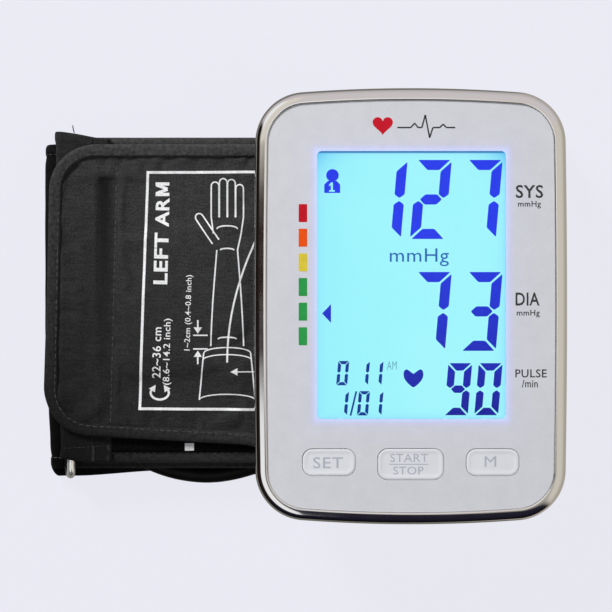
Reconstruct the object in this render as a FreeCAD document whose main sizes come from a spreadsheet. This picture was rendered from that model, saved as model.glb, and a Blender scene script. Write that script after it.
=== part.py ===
"""Upper-arm blood pressure set: a display unit and its air cuff, folded flat beside and partly under it.

Row frame in millimetres: +X to the right of the display, +Y to its top edge, +Z out of its face.
The origin is at the centre of the whole set's footprint, on the surface that it lies on.
The cuff is one long strip, threaded through its metal ring and folded in four layers. From the
bottom they are the strap, the lower band, the upper band and the flap, which lifts at its left end.
"""

import FreeCAD
import Part

import math
import os
import re

import Sketcher

V = FreeCAD.Vector
UP = V(0, 0, 1)

DIMENSIONS = {
    # display unit: outline and levels
    "unit_x": 46.0,
    "unit_width": 130.0,
    "unit_height": 181.0,
    "corner": 21.0,
    "side_arc": 4000.0,
    "end_arc": 600.0,
    "unit_top": 52.0,
    "bezel_depth": 10.0,
    "bezel_band": 5.0,
    "bezel_round": 4.4,
    "panel_top": 51.3,
    "panel_thick": 1.8,
    "deck_top": 49.3,
    "wall": 2.2,
    "flange_inset": 1.5,
    "rim_inset": 5.2,
    "seam": 38.0,
    "slab_bottom": 26.0,
    "rear_inset": 2.5,
    "rear_round": 3.0,
    "panel_inset": 5.15,
    # display
    "view_x": 46.3,
    "view_y": 8.8,
    "view_width": 78.2,
    "view_height": 111.0,
    "view_corner": 2.0,
    "glass_width": 82.0,
    "glass_height": 115.0,
    "glass_thick": 1.7,
    "light_thick": 2.6,
    # push buttons
    "button_y": -64.6,
    "side_button_x": 33.9,
    "side_button_width": 21.7,
    "side_button_height": 11.0,
    "start_button_width": 27.1,
    "start_button_height": 12.7,
    "start_drop": 0.8,
    "button_corner": 4.0,
    "button_top": 51.6,
    "button_gap": 0.25,
    "button_lip": 1.2,
    "stem_radius": 1.5,
    "stem_bottom": 44.0,
    "switch_side": 6.0,
    "switch_top": 43.1,
    # electronics
    "board_width": 100.0,
    "board_height": 138.0,
    "board_thick": 1.6,
    "board_z": 40.0,
    "board_y": -1.5,
    "post_radius": 2.6,
    "screw_hole": 1.3,
    "screw_radius": 1.25,
    "screw_head": 2.6,
    "boss_radius": 3.5,
    "screw_x": 49.5,
    "screw_y": 74.5,
    # battery box under the unit
    "box_x": 69.0,
    "box_y": 36.0,
    "box_width": 76.0,
    "box_height": 96.0,
    "box_corner": 9.0,
    "box_bottom": 2.0,
    "box_floor": 2.4,
    "lid_width": 61.4,
    "lid_height": 62.0,
    "lid_tongue": 2.0,
    "lid_play": 0.3,
    "cell_radius": 7.1,
    "cell_length": 50.0,
    "cell_pitch": 15.0,
    "cell_y": 52.0,
    "cell_z": 12.1,
    "foot_radius": 3.8,
    # pump
    "pump_x": 39.5,
    "pump_y": 5.0,
    "pump_z": 18.0,
    "pump_radius": 12.0,
    "motor_length": 27.0,
    "head_length": 16.0,
    "head_radius": 13.0,
    "head_wall": 1.5,
    "shaft_radius": 1.0,
    "throw": 1.5,
    "cup_ring": 6.6,
    "plunger_radius": 1.5,
    # sockets in the left wall
    "socket_z": 33.5,
    "air_y": 40.0,
    "air_radius": 4.2,
    "air_bore": 2.1,
    "air_depth": 12.0,
    "dc_y": 62.0,
    "dc_bore": 2.75,
    "dc_pin": 0.85,
    "line_radius": 1.5,
    # cuff layers
    "cuff_left": -111.0,
    "cuff_right": 28.0,
    "strip_width": 140.0,
    "tape": 1.0,
    "upper_shift": 2.5,
    "strap_thick": 3.0,
    "band_thick": 4.0,
    "strap_gap": 7.0,
    "arm_gap": 1.0,
    "pile_thick": 0.5,
    "hook_gap": 0.3,
    "hook_thick": 0.6,
    "flap_thick": 2.8,
    "cover": 0.8,
    "bladder_left": -78.0,
    "bladder_far_left": -97.0,
    "bladder_width": 118.0,
    # cuff flap, seen from above
    "flap_hinge": -23.0,
    "hinge_gap": 0.3,
    "flap_corner": 21.0,
    "flap_left": -108.2,
    "flap_lean": 1.3,
    "flap_top": 70.4,
    "flap_tip_bottom": -54.6,
    "flap_root_bottom": -59.3,
    # metal ring
    "ring_length": 148.4,
    "ring_wire": 1.75,
    "ring_bend": 2.6,
    "held_x": -98.3,
    "loose_x": -100.4,
    "sleeve_left": -105.0,
    "sleeve_right": -83.0,
    "sleeve_tape": 0.5,
    # air hose
    "hose_radius": 3.0,
    "port_radius": 2.9,
    "port_reach": 12.0,
    "port_flange": 8.0,
    "coil_x": 70.0,
    "coil_y": -52.0,
    "coil_radius": 30.0,
    "coil_end": -70.0,
    "coil_rise": 120.0,
    "plug_radius": 3.9,
    "plug_grip": 16.0,
    "plug_nozzle": 9.0,
}

# Names of the cuff's levels, each worked out from the layer thicknesses.
LEVELS = {
    "gap_floor": "strap_thick",
    "lower_z": "(strap_thick + strap_gap)",
    "arm_z": "(strap_thick + strap_gap + band_thick)",
    "upper_z": "(strap_thick + strap_gap + band_thick + arm_gap)",
    "pile_z": "(strap_thick + strap_gap + 2 * band_thick + arm_gap)",
    "hook_z": "(strap_thick + strap_gap + 2 * band_thick + arm_gap + pile_thick + hook_gap)",
    "flap_z": "(strap_thick + strap_gap + 2 * band_thick + arm_gap + pile_thick + hook_gap + hook_thick)",
    "cuff_top": "(strap_thick + strap_gap + 2 * band_thick + arm_gap + pile_thick + hook_gap"
    " + hook_thick + flap_thick)",
}

doc = FreeCAD.newDocument("arm_cuff_set")
sheet = doc.addObject("Spreadsheet::Sheet", "Dims")
for row, (name, number) in enumerate(DIMENSIONS.items(), start=1):
    sheet.set(f"A{row}", name)
    sheet.set(f"B{row}", str(number))
    sheet.setAlias(f"B{row}", name)
doc.recompute()

LEVEL_WORD = re.compile(r"\b(" + "|".join(LEVELS) + r")\b")
CELL_WORD = re.compile(r"\b(" + "|".join(DIMENSIONS) + r")\b")
PIECES = []


def formula(text):
    """The text with each level written out and each cell's alias pointed at the sheet."""
    spelled = LEVEL_WORD.sub(lambda found: LEVELS[found.group(0)], text)
    return CELL_WORD.sub(r"Dims.\1", spelled)


def value(text):
    """The number that a formula gives."""
    return float(sheet.evalExpression(formula(text)))


def bind(thing, prop, text):
    thing.setExpression(prop, formula(text))


def put(thing, corner, prop="Placement"):
    for axis, text in zip("xyz", corner):
        bind(thing, f"{prop}.Base.{axis}", text)


def piece(label, thing):
    """Marks an object as a sub-part: its label names its file."""
    thing.Label = label
    PIECES.append(thing)
    return thing


def box(name, size, corner):
    made = doc.addObject("Part::Box", name)
    for prop, text in zip(("Length", "Width", "Height"), size):
        bind(made, prop, text)
    put(made, corner)
    return made


def cylinder(name, radius, height, base, turn=None, angle="360"):
    """turn is (axis, degrees) of a rotation that aims the cylinder's axis."""
    made = doc.addObject("Part::Cylinder", name)
    bind(made, "Radius", radius)
    bind(made, "Height", height)
    bind(made, "Angle", angle)
    if turn:
        made.Placement = FreeCAD.Placement(V(0, 0, 0), FreeCAD.Rotation(*turn))
    put(made, base)
    return made


ALONG_X = (V(0, 1, 0), 90)
ALONG_Y = (V(1, 0, 0), -90)


def cut(name, base, *tools):
    for number, tool in enumerate(tools):
        made = doc.addObject("Part::Cut", f"{name}_cut{number}")
        made.Base, made.Tool = base, tool
        base = made
    return base


def fuse(name, *parts):
    made = doc.addObject("Part::MultiFuse", name)
    made.Shapes = list(parts)
    return made


def group(name, *parts):
    """Several separate solids in one node."""
    made = doc.addObject("Part::Compound", name)
    made.Links = list(parts)
    return made


def feature(name, shape):
    made = doc.addObject("Part::Feature", name)
    made.Shape = shape
    return made


# Sketches


def new_body(label):
    made = doc.addObject("PartDesign::Body", label)
    return piece(label, made)


def sketch_on(owner, level, x="unit_x", y="0"):
    plane = next(f for f in owner.Origin.OriginFeatures if f.Role == "XY_Plane")
    made = owner.newObject("Sketcher::SketchObject", f"{owner.Name}_sketch")
    made.AttachmentSupport = [(plane, "")]
    made.MapMode = "FlatFace"
    put(made, (x, y, level), "AttachmentOffset")
    return made


def name_last(sketch, name, text):
    """Names the newest constraint and ties it to a formula."""
    sketch.renameConstraint(sketch.ConstraintCount - 1, name)
    bind(sketch, f"Constraints.{name}", text)


def chain(sketch, count):
    """Joins count pieces of geometry end to start, each tangent to the next."""
    for i in range(count):
        sketch.addConstraint(Sketcher.Constraint("Tangent", i, 2, (i + 1) % count, 1))


def rounded(sketch, width, height, radius):
    """A rectangle with round corners, centred on the sketch's origin."""
    w, h, r = value(width) / 2, value(height) / 2, value(radius)
    quarter = math.pi / 2
    for i, (cx, cy) in enumerate(((w - r, h - r), (r - w, h - r), (r - w, r - h), (w - r, r - h))):
        a = V(math.cos(i * quarter), math.sin(i * quarter), 0)
        along = V(-a.y, a.x, 0)
        reach = (h if i % 2 == 0 else w) - r
        out = w if i % 2 == 0 else h
        side = Part.LineSegment(a * out - along * reach, a * out + along * reach)
        sketch.addGeometry(side)
        circle = Part.Circle(V(cx, cy, 0), UP, r)
        sketch.addGeometry(Part.ArcOfCircle(circle, i * quarter, (i + 1) * quarter))
    chain(sketch, 8)
    for side, kind in ((0, "Vertical"), (2, "Horizontal"), (4, "Vertical"), (6, "Horizontal")):
        sketch.addConstraint(Sketcher.Constraint(kind, side))
    for first, second in ((1, 3), (3, 5), (5, 7)):
        sketch.addConstraint(Sketcher.Constraint("Equal", first, second))
    sketch.addConstraint(Sketcher.Constraint("Symmetric", 1, 3, 5, 3, -1, 1))
    sketch.addConstraint(Sketcher.Constraint("Radius", 1, r))
    name_last(sketch, "corner_radius", radius)
    sketch.addConstraint(Sketcher.Constraint("DistanceX", 4, 1, 0, 1, 2 * w))
    name_last(sketch, "full_width", width)
    sketch.addConstraint(Sketcher.Constraint("DistanceY", 6, 1, 2, 1, 2 * h))
    name_last(sketch, "full_height", height)


def corner_centre():
    """Where the outline's corner arc is centred: it touches the side arc and the end arc."""
    r = value("corner")
    low = V(0, value("unit_height / 2 - end_arc"), 0)
    left = V(value("unit_width / 2 - side_arc"), 0, 0)
    near, far = value("end_arc") - r, value("side_arc") - r
    gap = left - low
    along = (near**2 - far**2 + gap.Length**2) / (2 * gap.Length)
    across = math.sqrt(near**2 - along**2)
    unit = V(gap).normalize()
    found = [low + unit * along + V(unit.y, -unit.x, 0) * s * across for s in (1, -1)]
    return low, left, max(found, key=lambda p: p.x + p.y)


def bowed(sketch, inset):
    """The unit's outline, set in by a distance: four shallow arcs and four corner arcs, all tangent."""
    low, left, corner = corner_centre()
    back = value(inset)
    side_turn = math.atan2(corner.y, corner.x - left.x)
    end_turn = math.atan2(corner.y - low.y, corner.x)
    half = math.pi
    arcs = (
        (left, "side_arc", -side_turn, side_turn),
        (corner, "corner", side_turn, end_turn),
        (low, "end_arc", end_turn, half - end_turn),
        (V(-corner.x, corner.y, 0), "corner", half - end_turn, half - side_turn),
        (-left, "side_arc", half - side_turn, half + side_turn),
        (-corner, "corner", half + side_turn, half + end_turn),
        (-low, "end_arc", half + end_turn, 2 * half - end_turn),
        (V(corner.x, -corner.y, 0), "corner", 2 * half - end_turn, 2 * half - side_turn),
    )
    for centre, radius, start, end in arcs:
        circle = Part.Circle(centre, UP, value(radius) - back)
        sketch.addGeometry(Part.ArcOfCircle(circle, start, end))
    chain(sketch, 8)
    for arc, axis in ((0, -1), (4, -1), (2, -2), (6, -2)):
        sketch.addConstraint(Sketcher.Constraint("PointOnObject", arc, 3, axis))
    for first, second in ((0, 4), (2, 6), (1, 3), (3, 5), (5, 7)):
        sketch.addConstraint(Sketcher.Constraint("Equal", first, second))
    for arc, radius in ((0, "side_arc"), (2, "end_arc"), (1, "corner")):
        sketch.addConstraint(Sketcher.Constraint("Radius", arc, value(radius) - back))
        name_last(sketch, f"{radius}_radius", f"{radius} - ({inset})")
    for name, ends, kind, text in (
        ("right_centre", (0, 3, -1, 1), "DistanceX", "side_arc - unit_width / 2"),
        ("left_centre", (-1, 1, 4, 3), "DistanceX", "side_arc - unit_width / 2"),
        ("top_centre", (2, 3, -1, 1), "DistanceY", "end_arc - unit_height / 2"),
        ("bottom_centre", (-1, 1, 6, 3), "DistanceY", "end_arc - unit_height / 2"),
    ):
        sketch.addConstraint(Sketcher.Constraint(kind, *ends, value(text)))
        name_last(sketch, name, text)


def circle_at(sketch, radius):
    sketch.addGeometry(Part.Circle(V(0, 0, 0), UP, value(radius)))
    sketch.addConstraint(Sketcher.Constraint("Coincident", 0, 3, -1, 1))
    sketch.addConstraint(Sketcher.Constraint("Radius", 0, value(radius)))
    name_last(sketch, "circle_radius", radius)


def grow(owner, kind, sketch, length):
    """Adds a Pad or a Pocket that runs up from its sketch, and checks that it did something."""
    before = owner.Shape.Volume if owner.Shape and not owner.Shape.isNull() else 0.0
    made = owner.newObject(f"PartDesign::{kind}", f"{owner.Name}_{kind.lower()}")
    made.Profile = sketch
    bind(made, "Length", length)
    made.Reversed = kind == "Pocket"
    owner.Tip = made
    sketch.Visibility = False
    doc.recompute()
    if abs(owner.Shape.Volume - before) < 0.01:
        raise SystemExit(f"{made.Name} changed nothing")
    return made


def soften(owner, size, wanted):
    """Fillets the edges that a test picks out."""
    base = owner.Tip
    names = [f"Edge{i + 1}" for i, e in enumerate(base.Shape.Edges) if wanted(e)]
    made = owner.newObject("PartDesign::Fillet", f"{owner.Name}_fillet")
    made.Base = (base, names)
    bind(made, "Radius", size)
    owner.Tip = made
    doc.recompute()


def level_edges(level):
    """A test for edges that lie flat at a level."""
    z = value(level)
    return lambda e: abs(e.BoundBox.ZMin - z) < 0.01 and abs(e.BoundBox.ZMax - z) < 0.01


def outer_edges(level, reach):
    """A test for flat edges at a level that lie outside a rectangle this far inside the unit."""
    flat = level_edges(level)
    x, a = value("unit_x"), value("unit_width") / 2 - reach
    b = value("unit_height") / 2 - reach

    def wanted(e):
        middle = e.valueAt((e.FirstParameter + e.LastParameter) / 2)
        return flat(e) and (abs(middle.x - x) > a or abs(middle.y) > b or math.hypot(
            max(abs(middle.x - x) - a + 16, 0), max(abs(middle.y) - b + 16, 0)) > 16)

    return wanted


# Display unit


def bezel():
    body = new_body("bezel")
    for kind, inset in (("Pad", "0"), ("Pocket", "bezel_band")):
        outline = sketch_on(body, "unit_top - bezel_depth")
        bowed(outline, inset)
        grow(body, kind, outline, "bezel_depth")
    soften(body, "bezel_round", outer_edges("unit_top", 2.5))
    soften(body, "0.5", level_edges("unit_top"))


def roomy(width, height):
    """The size and corner of a button's hole."""
    return f"{width} + 2 * button_gap", f"{height} + 2 * button_gap", "button_corner + button_gap"


def button_places():
    """Each button's name, size and centre."""
    side = ("side_button_width", "side_button_height")
    return (
        ("set", *side, "unit_x - side_button_x", "button_y"),
        ("start", "start_button_width", "start_button_height", "unit_x", "button_y - start_drop"),
        ("memory", *side, "unit_x + side_button_x", "button_y"),
    )


def face_panel():
    body = new_body("face_panel")
    bottom = "panel_top - panel_thick"
    outline = sketch_on(body, bottom)
    bowed(outline, "panel_inset")
    grow(body, "Pad", outline, "panel_thick")
    window = sketch_on(body, bottom, "view_x", "view_y")
    rounded(window, "view_width", "view_height", "view_corner")
    grow(body, "Pocket", window, "panel_thick")
    for _, width, height, x, y in button_places():
        hole = sketch_on(body, bottom, x, y)
        rounded(hole, *roomy(width, height))
        grow(body, "Pocket", hole, "panel_thick")


def plate(label, width, height, radius, thick, x, y, z):
    """A flat plate with round corners."""
    body = new_body(label)
    outline = sketch_on(body, z, x, y)
    rounded(outline, width, height, radius)
    grow(body, "Pad", outline, thick)
    return body


def display():
    plate("display_window", "view_width - 0.2", "view_height - 0.2", "view_corner - 0.1", "panel_thick",
          "view_x", "view_y", "panel_top - panel_thick")
    plate("display_glass", "glass_width", "glass_height", "1", "glass_thick",
          "view_x", "view_y", "deck_top - glass_thick")
    plate("backlight", "view_width + 2", "view_height + 2", "1.5", "light_thick",
          "view_x", "view_y", "deck_top - glass_thick - 0.2 - light_thick")


def front_case():
    body = new_body("front_case")
    flange = sketch_on(body, "seam")
    bowed(flange, "flange_inset")
    grow(body, "Pad", flange, "unit_top - bezel_depth - seam")
    rim = sketch_on(body, "unit_top - bezel_depth")
    bowed(rim, "rim_inset")
    grow(body, "Pad", rim, "deck_top - unit_top + bezel_depth")
    hollow = sketch_on(body, "seam")
    bowed(hollow, "rim_inset + wall")
    grow(body, "Pocket", hollow, "deck_top - wall - seam")
    for x, y in board_screw_places():
        post = sketch_on(body, "board_z + board_thick", x, y)
        circle_at(post, "post_radius")
        grow(body, "Pad", post, "deck_top - wall - board_z - board_thick")
        hole = sketch_on(body, "board_z + board_thick", x, y)
        circle_at(hole, "0.85")
        grow(body, "Pocket", hole, "4.5")
    for x, y in case_screw_places():
        boss = sketch_on(body, "slab_bottom + wall + 0.3", x, y)
        circle_at(boss, "boss_radius")
        grow(body, "Pad", boss, "deck_top - wall - slab_bottom - wall - 0.3")
        hole = sketch_on(body, "slab_bottom + wall + 0.3", x, y)
        circle_at(hole, "screw_hole")
        grow(body, "Pocket", hole, "11")
    window = sketch_on(body, "seam", "view_x", "view_y")
    rounded(window, "glass_width + 1", "glass_height + 1", "1.5")
    grow(body, "Pocket", window, "deck_top - seam")
    for _, width, height, x, y in button_places():
        hole = sketch_on(body, "seam", x, y)
        rounded(hole, *roomy(width, height))
        grow(body, "Pocket", hole, "deck_top - seam")


def board_screw_places():
    """Two at the board's top corners and two beside the display, above the buttons."""
    return [(f"unit_x + {side} * (board_width / 2 - 4)", y)
            for side in ("1", "(-1)") for y in ("board_y + board_height / 2 - 4", "board_y - 50")]


def case_screw_places():
    """Three corners of the slab and, because the battery box fills the fourth, one below that box."""
    left, right, end = "unit_x - screw_x", "unit_x + screw_x", "screw_y"
    return [(left, end), (left, f"-{end}"), (right, f"-{end}"), (f"{right} + 4.5", "-24")]


def rear_case():
    body = new_body("rear_case")
    outline = sketch_on(body, "slab_bottom")
    bowed(outline, "rear_inset")
    grow(body, "Pad", outline, "seam - slab_bottom")
    soften(body, "rear_round", level_edges("slab_bottom"))
    hollow = sketch_on(body, "slab_bottom + wall")
    bowed(hollow, "rear_inset + wall + 2.6")
    grow(body, "Pocket", hollow, "seam - slab_bottom - wall")
    well = sketch_on(body, "slab_bottom", "box_x", "box_y")
    rounded(well, "box_width - 2 * wall - 6", "box_height - 2 * wall - 6", "box_corner - wall")
    grow(body, "Pocket", well, "wall")
    for x, y in case_screw_places():
        hole = sketch_on(body, "slab_bottom", x, y)
        circle_at(hole, "screw_radius + 0.3")
        grow(body, "Pocket", hole, "wall")
        sink = sketch_on(body, "slab_bottom", x, y)
        circle_at(sink, "screw_head + 0.3")
        grow(body, "Pocket", sink, "1.2")
    for y, radius in (("air_y", "air_radius + 0.05"), ("dc_y", "air_radius + 0.05")):
        side_hole(body, y, radius)


def side_hole(body, y, radius):
    """A round hole through the left wall, along X."""
    plane = next(f for f in body.Origin.OriginFeatures if f.Role == "YZ_Plane")
    sketch = body.newObject("Sketcher::SketchObject", f"{body.Name}_sketch")
    sketch.AttachmentSupport = [(plane, "")]
    sketch.MapMode = "FlatFace"
    put(sketch, (y, "socket_z", "unit_x - unit_width / 2 - 1"), "AttachmentOffset")
    circle_at(sketch, radius)
    grow(body, "Pocket", sketch, "14")


def battery_box():
    body = new_body("battery_box")
    outline = sketch_on(body, "box_bottom", "box_x", "box_y")
    rounded(outline, "box_width", "box_height", "box_corner")
    grow(body, "Pad", outline, "slab_bottom - box_bottom")
    hollow = sketch_on(body, "box_bottom + box_floor", "box_x", "box_y")
    rounded(hollow, "box_width - 2 * wall", "box_height - 2 * wall", "box_corner - wall")
    grow(body, "Pocket", hollow, "slab_bottom - box_bottom - box_floor")
    ledge = "box_y + box_height / 2 - lid_height / 2"
    for z, width, depth in (
        ("box_bottom", "lid_width + 2 * lid_play", "1.1"),
        ("box_bottom + 1", "lid_width + 2 * lid_tongue + 2 * lid_play", "box_floor - 1"),
    ):
        opening = sketch_on(body, z, "box_x", f"{ledge} + 1")
        rounded(opening, width, "lid_height + 2 * lid_play + 2", "0.5")
        grow(body, "Pocket", opening, depth)


def battery_lid():
    """Slides out towards +Y: its tongues run on the ledges beside the opening."""
    y = "box_y + box_height / 2 - lid_height"
    skin = box("lid_skin", ("lid_width", "lid_height", "1.3"), ("box_x - lid_width / 2", y, "box_bottom"))
    tongue = box("lid_tongues", ("lid_width + 2 * lid_tongue", "lid_height - 4", "0.9"),
                 ("box_x - lid_width / 2 - lid_tongue", y, "box_bottom + 1.3"))
    grip = [box(f"lid_rib{i}", ("20", "1.2", "0.5"),
                ("box_x - 10", f"{y} + lid_height - 9 - {2.4 * i}", "box_bottom - 0.5")) for i in range(5)]
    piece("battery_lid", fuse("battery_lid", skin, tongue, *grip))


def batteries():
    def cell(i):
        x = f"box_x + {i - 1.5} * cell_pitch"
        up = i % 2 == 0
        y = "cell_y - cell_length / 2"
        can = cylinder(f"cell{i}_can", "cell_radius", "cell_length - 1.5",
                       (x, y if up else f"{y} + 1.5", "cell_z"), ALONG_Y)
        cap = cylinder(f"cell{i}_cap", "2.7", "1.6",
                       (x, "cell_y + cell_length / 2 - 1.6" if up else y, "cell_z"), ALONG_Y)
        return fuse(f"cell{i}", can, cap)

    piece("batteries", group("batteries", *[cell(i) for i in range(4)]))
    tray_y = "cell_y - cell_length / 2 - 3"
    outer = box("tray_outer", ("66", "cell_length + 6", "cell_radius * 2 + 1.6"),
                ("box_x - 33", tray_y, "box_bottom + box_floor + 0.2"))
    inner = box("tray_inner", ("64", "cell_length + 4", "cell_radius * 2 + 0.6"),
                ("box_x - 32", f"{tray_y} + 1", "box_bottom + box_floor + 0.2"))
    piece("battery_tray", cut("battery_tray", outer, inner))
    plates = []
    for i in range(4):
        x = f"box_x + {i - 1.5} * cell_pitch - 5"
        for end in ("cell_y - cell_length / 2 - 1.6", "cell_y + cell_length / 2 + 1.1"):
            plates.append(box("contact", ("10", "0.5", "11"), (x, end, "cell_z - 5.5")))
    piece("battery_contacts", group("battery_contacts", *plates))


def buttons():
    for name, width, height, x, y in button_places():
        body = new_body(f"{name}_button")
        cap = sketch_on(body, "deck_top - wall - 0.05", x, y)
        rounded(cap, width, height, "button_corner")
        grow(body, "Pad", cap, "button_top - deck_top + wall + 0.05")
        lip = sketch_on(body, "deck_top - wall - 0.05 - 1.3", x, y)
        rounded(lip, f"{width} + 2 * button_lip", f"{height} + 2 * button_lip", "button_corner")
        grow(body, "Pad", lip, "1.3")
        stem = sketch_on(body, "stem_bottom", x, y)
        circle_at(stem, "stem_radius")
        grow(body, "Pad", stem, "deck_top - wall - 1.3 - stem_bottom")
        soften(body, "0.5", level_edges("button_top"))


def electronics():
    board = plate("main_board", "board_width", "board_height", "3", "board_thick",
                  "unit_x", "board_y", "board_z")
    for x, y in board_screw_places():
        hole = sketch_on(board, "board_z", x, y)
        circle_at(hole, "1.1")
        grow(board, "Pocket", hole, "board_thick")
    switches = [box("switch", ("switch_side", "switch_side", "switch_top - board_z - board_thick"),
                    (f"{x} - switch_side / 2", f"{y} - switch_side / 2", "board_z + board_thick"))
                for _, _, _, x, y in button_places()]
    piece("button_switches", group("button_switches", *switches))
    screws = []
    for x, y in board_screw_places():
        head = cylinder("board_screw_head", "2", "1.2", (x, y, "board_z - 1.2"))
        shank = cylinder("board_screw_shank", "0.8", "5.2", (x, y, "board_z - 0.1"))
        screws.append(fuse("board_screw", head, shank))
    piece("board_screws", group("board_screws", *screws))
    long_screws = []
    for x, y in case_screw_places():
        head = cylinder("case_screw_head", "screw_head", "0.9", (x, y, "slab_bottom + 0.3"))
        shank = cylinder("case_screw_shank", "screw_radius", "10", (x, y, "slab_bottom + 1"))
        long_screws.append(fuse("case_screw", head, shank))
    piece("case_screws", group("case_screws", *long_screws))
    piece("buzzer", cylinder("buzzer", "6", "4", ("unit_x + 34", "-48", "board_z - 4")))
    chip = box("sensor_body", ("11", "11", "5"), ("unit_x - 30", "-4", "board_z - 5"))
    spout = cylinder("sensor_spout", "1.4", "6", ("unit_x - 24.5", "7", "socket_z + 3.8"), ALONG_Y)
    piece("pressure_sensor", fuse("pressure_sensor", chip, spout))


def pump():
    can = cylinder("motor_can", "pump_radius", "motor_length",
                   ("pump_x + head_length", "pump_y", "pump_z"), ALONG_X)
    bore = cylinder("motor_bore", "shaft_radius + 0.05", "8",
                    ("pump_x + head_length - 1", "pump_y", "pump_z"), ALONG_X)
    piece("pump_motor", cut("pump_motor", can, bore))
    shell = cylinder("head_shell", "head_radius", "head_length", ("pump_x", "pump_y", "pump_z"), ALONG_X)
    hollow = cylinder("head_hollow", "head_radius - head_wall", "head_length - head_wall",
                      ("pump_x + head_wall", "pump_y", "pump_z"), ALONG_X)
    spout = cylinder("head_spout", "1.4", "8.5", ("pump_x + 3", "pump_y + 6.5", "socket_z - 5"), ALONG_Y)
    piece("pump_head", fuse("pump_head", cut("head_cup", shell, hollow), spout))
    shaft = cylinder("rotor_shaft", "shaft_radius", "11", ("pump_x + 12", "pump_y", "pump_z"), ALONG_X)
    wheel = cylinder("rotor_wheel", "4", "4", ("pump_x + 12", "pump_y", "pump_z + throw"), ALONG_X)
    piece("pump_rotor", fuse("pump_rotor", shaft, wheel))
    cups = []
    for turn in (30, 150, 270):
        y = f"pump_y + cup_ring * cos({turn} deg)"
        z = f"pump_z + cup_ring * sin({turn} deg)"
        cups.append(cylinder("pump_cup", "3", "7", ("pump_x + 2.2", y, z), ALONG_X))
    piece("pump_cups", group("pump_cups", *cups))
    valve_x, valve_z = "pump_x + head_length + motor_length + 2", "pump_z - 3.5"
    coil = box("valve_coil", ("14", "11", "11"), (valve_x, "pump_y - 5.5", f"{valve_z} - 5.5"))
    nose = cylinder("valve_nose", "2.4", "5", (f"{valve_x} + 14", "pump_y", valve_z), ALONG_X)
    bore = cylinder("valve_bore", "plunger_radius + 0.05", "13",
                    (f"{valve_x} + 2", "pump_y", valve_z), ALONG_X)
    port = cylinder("valve_port", "0.7", "8", (f"{valve_x} + 12", "pump_y", valve_z), ALONG_X)
    piece("release_valve", cut("release_valve", fuse("valve_body", coil, nose), bore, port))
    piece("valve_plunger", cylinder("valve_plunger", "plunger_radius", "11.8",
                                    (f"{valve_x} + 2.3", "pump_y", valve_z), ALONG_X))


def sockets():
    wall_x = "unit_x - unit_width / 2 + rear_inset + 0.4"
    for label, y, bore, depth in (("air_socket", "air_y", "air_bore", "air_depth"),
                                  ("power_socket", "dc_y", "dc_bore", "9.5")):
        shell = cylinder(f"{label}_shell", "air_radius", "air_depth + 2", (wall_x, y, "socket_z"), ALONG_X)
        hole = cylinder(f"{label}_hole", bore, f"{depth} + 1", (f"{wall_x} - 1", y, "socket_z"), ALONG_X)
        made = cut(label, shell, hole)
        if label == "power_socket":
            pin = cylinder("power_pin", "dc_pin", f"{depth} - 0.8",
                           (f"{wall_x} + 1", y, "socket_z"), ALONG_X)
            made = fuse(label, made, pin)
        piece(label, made)


def air_lines():
    """A tee behind the air socket, and the soft tubes from it to the socket, the pump and the sensor."""
    side = 8.0
    left = value("unit_x - unit_width / 2 + rear_inset + 0.4 + air_depth + 2")
    y, z = value("air_y"), value("socket_z")
    near = left + 12.0
    corner = (str(near), f"air_y - {side / 2}", f"socket_z - {side / 2}")
    piece("air_tee", box("air_tee", (str(side),) * 3, corner))
    middle, far = near + side / 2, near + side
    pump_x, pump_end = value("pump_x + 3"), value("pump_y + 15")
    sensor_x, sensor_end = value("unit_x - 24.5"), 13.0
    to_pump = [V(far, y, z), V(far + 7, y - 0.5, z - 0.5), V(pump_x - 5, y - 4, z - 1.8),
               V(pump_x, y - 11, z - 3.4), V(pump_x, pump_end, z - 5)]
    to_sensor = [V(middle, y - side / 2, z), V(middle, y - 12, z + 0.5), V(sensor_x, 21, z + 3.4),
                 V(sensor_x, sensor_end, z + 3.8)]
    radius = value("line_radius")
    run = cylinder("socket_line", "line_radius", "12", (str(left), "air_y", "socket_z"), ALONG_X)
    tubes = [feature(name, tube(smooth_path(points), radius))
             for name, points in (("pump_line", to_pump), ("sensor_line", to_sensor))]
    piece("air_tubes", group("air_tubes", run, *tubes))


def feet():
    places = [(f"box_x + {sx} * 33.5", y) for sx in ("1", "(-1)") for y in ("box_y - 40", "box_y + 36")]
    discs = [cylinder("foot", "foot_radius", "box_bottom", (x, y, "0")) for x, y in places]
    piece("rubber_feet", group("rubber_feet", *discs))


# Cuff

# Air hose: each point is (x, y, height of its centre), from the port to the start of the coil.
HOSE_ROUTE = (
    (-88.5, -40.0, 6.5),
    (-83.5, -54.0, 6.5),
    (-71.0, -66.0, 6.5),
    (-53.5, -73.0, 6.5),
    (-33.5, -74.3, 6.4),
    (-10.0, -66.8, 6.5),
    (12.0, -76.3, 5.0),
    (34.0, -84.5, 3.2),
    (55.0, -85.0, 3.1),
)


def half_tube(name, outer, inner, x, z_out, z_in, y, width, right):
    """Half of a fold: outer and inner radius, both centred on x, at their own heights."""
    turn = FreeCAD.Rotation(V(1, 0, 0), -90)
    spin = FreeCAD.Rotation(V(0, 1, 0), -90 if right else 90)
    made = []
    for radius, z, extra in ((outer, z_out, "0"), (inner, z_in, "1")):
        half = cylinder(f"{name}_side", radius, f"{width} + 2 * {extra}", ("0", "0", "0"), None, "180")
        half.Placement = FreeCAD.Placement(V(0, 0, 0), spin * turn)
        put(half, (x, f"{y} - {extra}", z))
        made.append(half)
    return cut(name, *made)


def slab(name, left, right, y, width, z, thick):
    return box(name, (f"{right} - ({left})", width, thick), (left, y, z))


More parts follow.
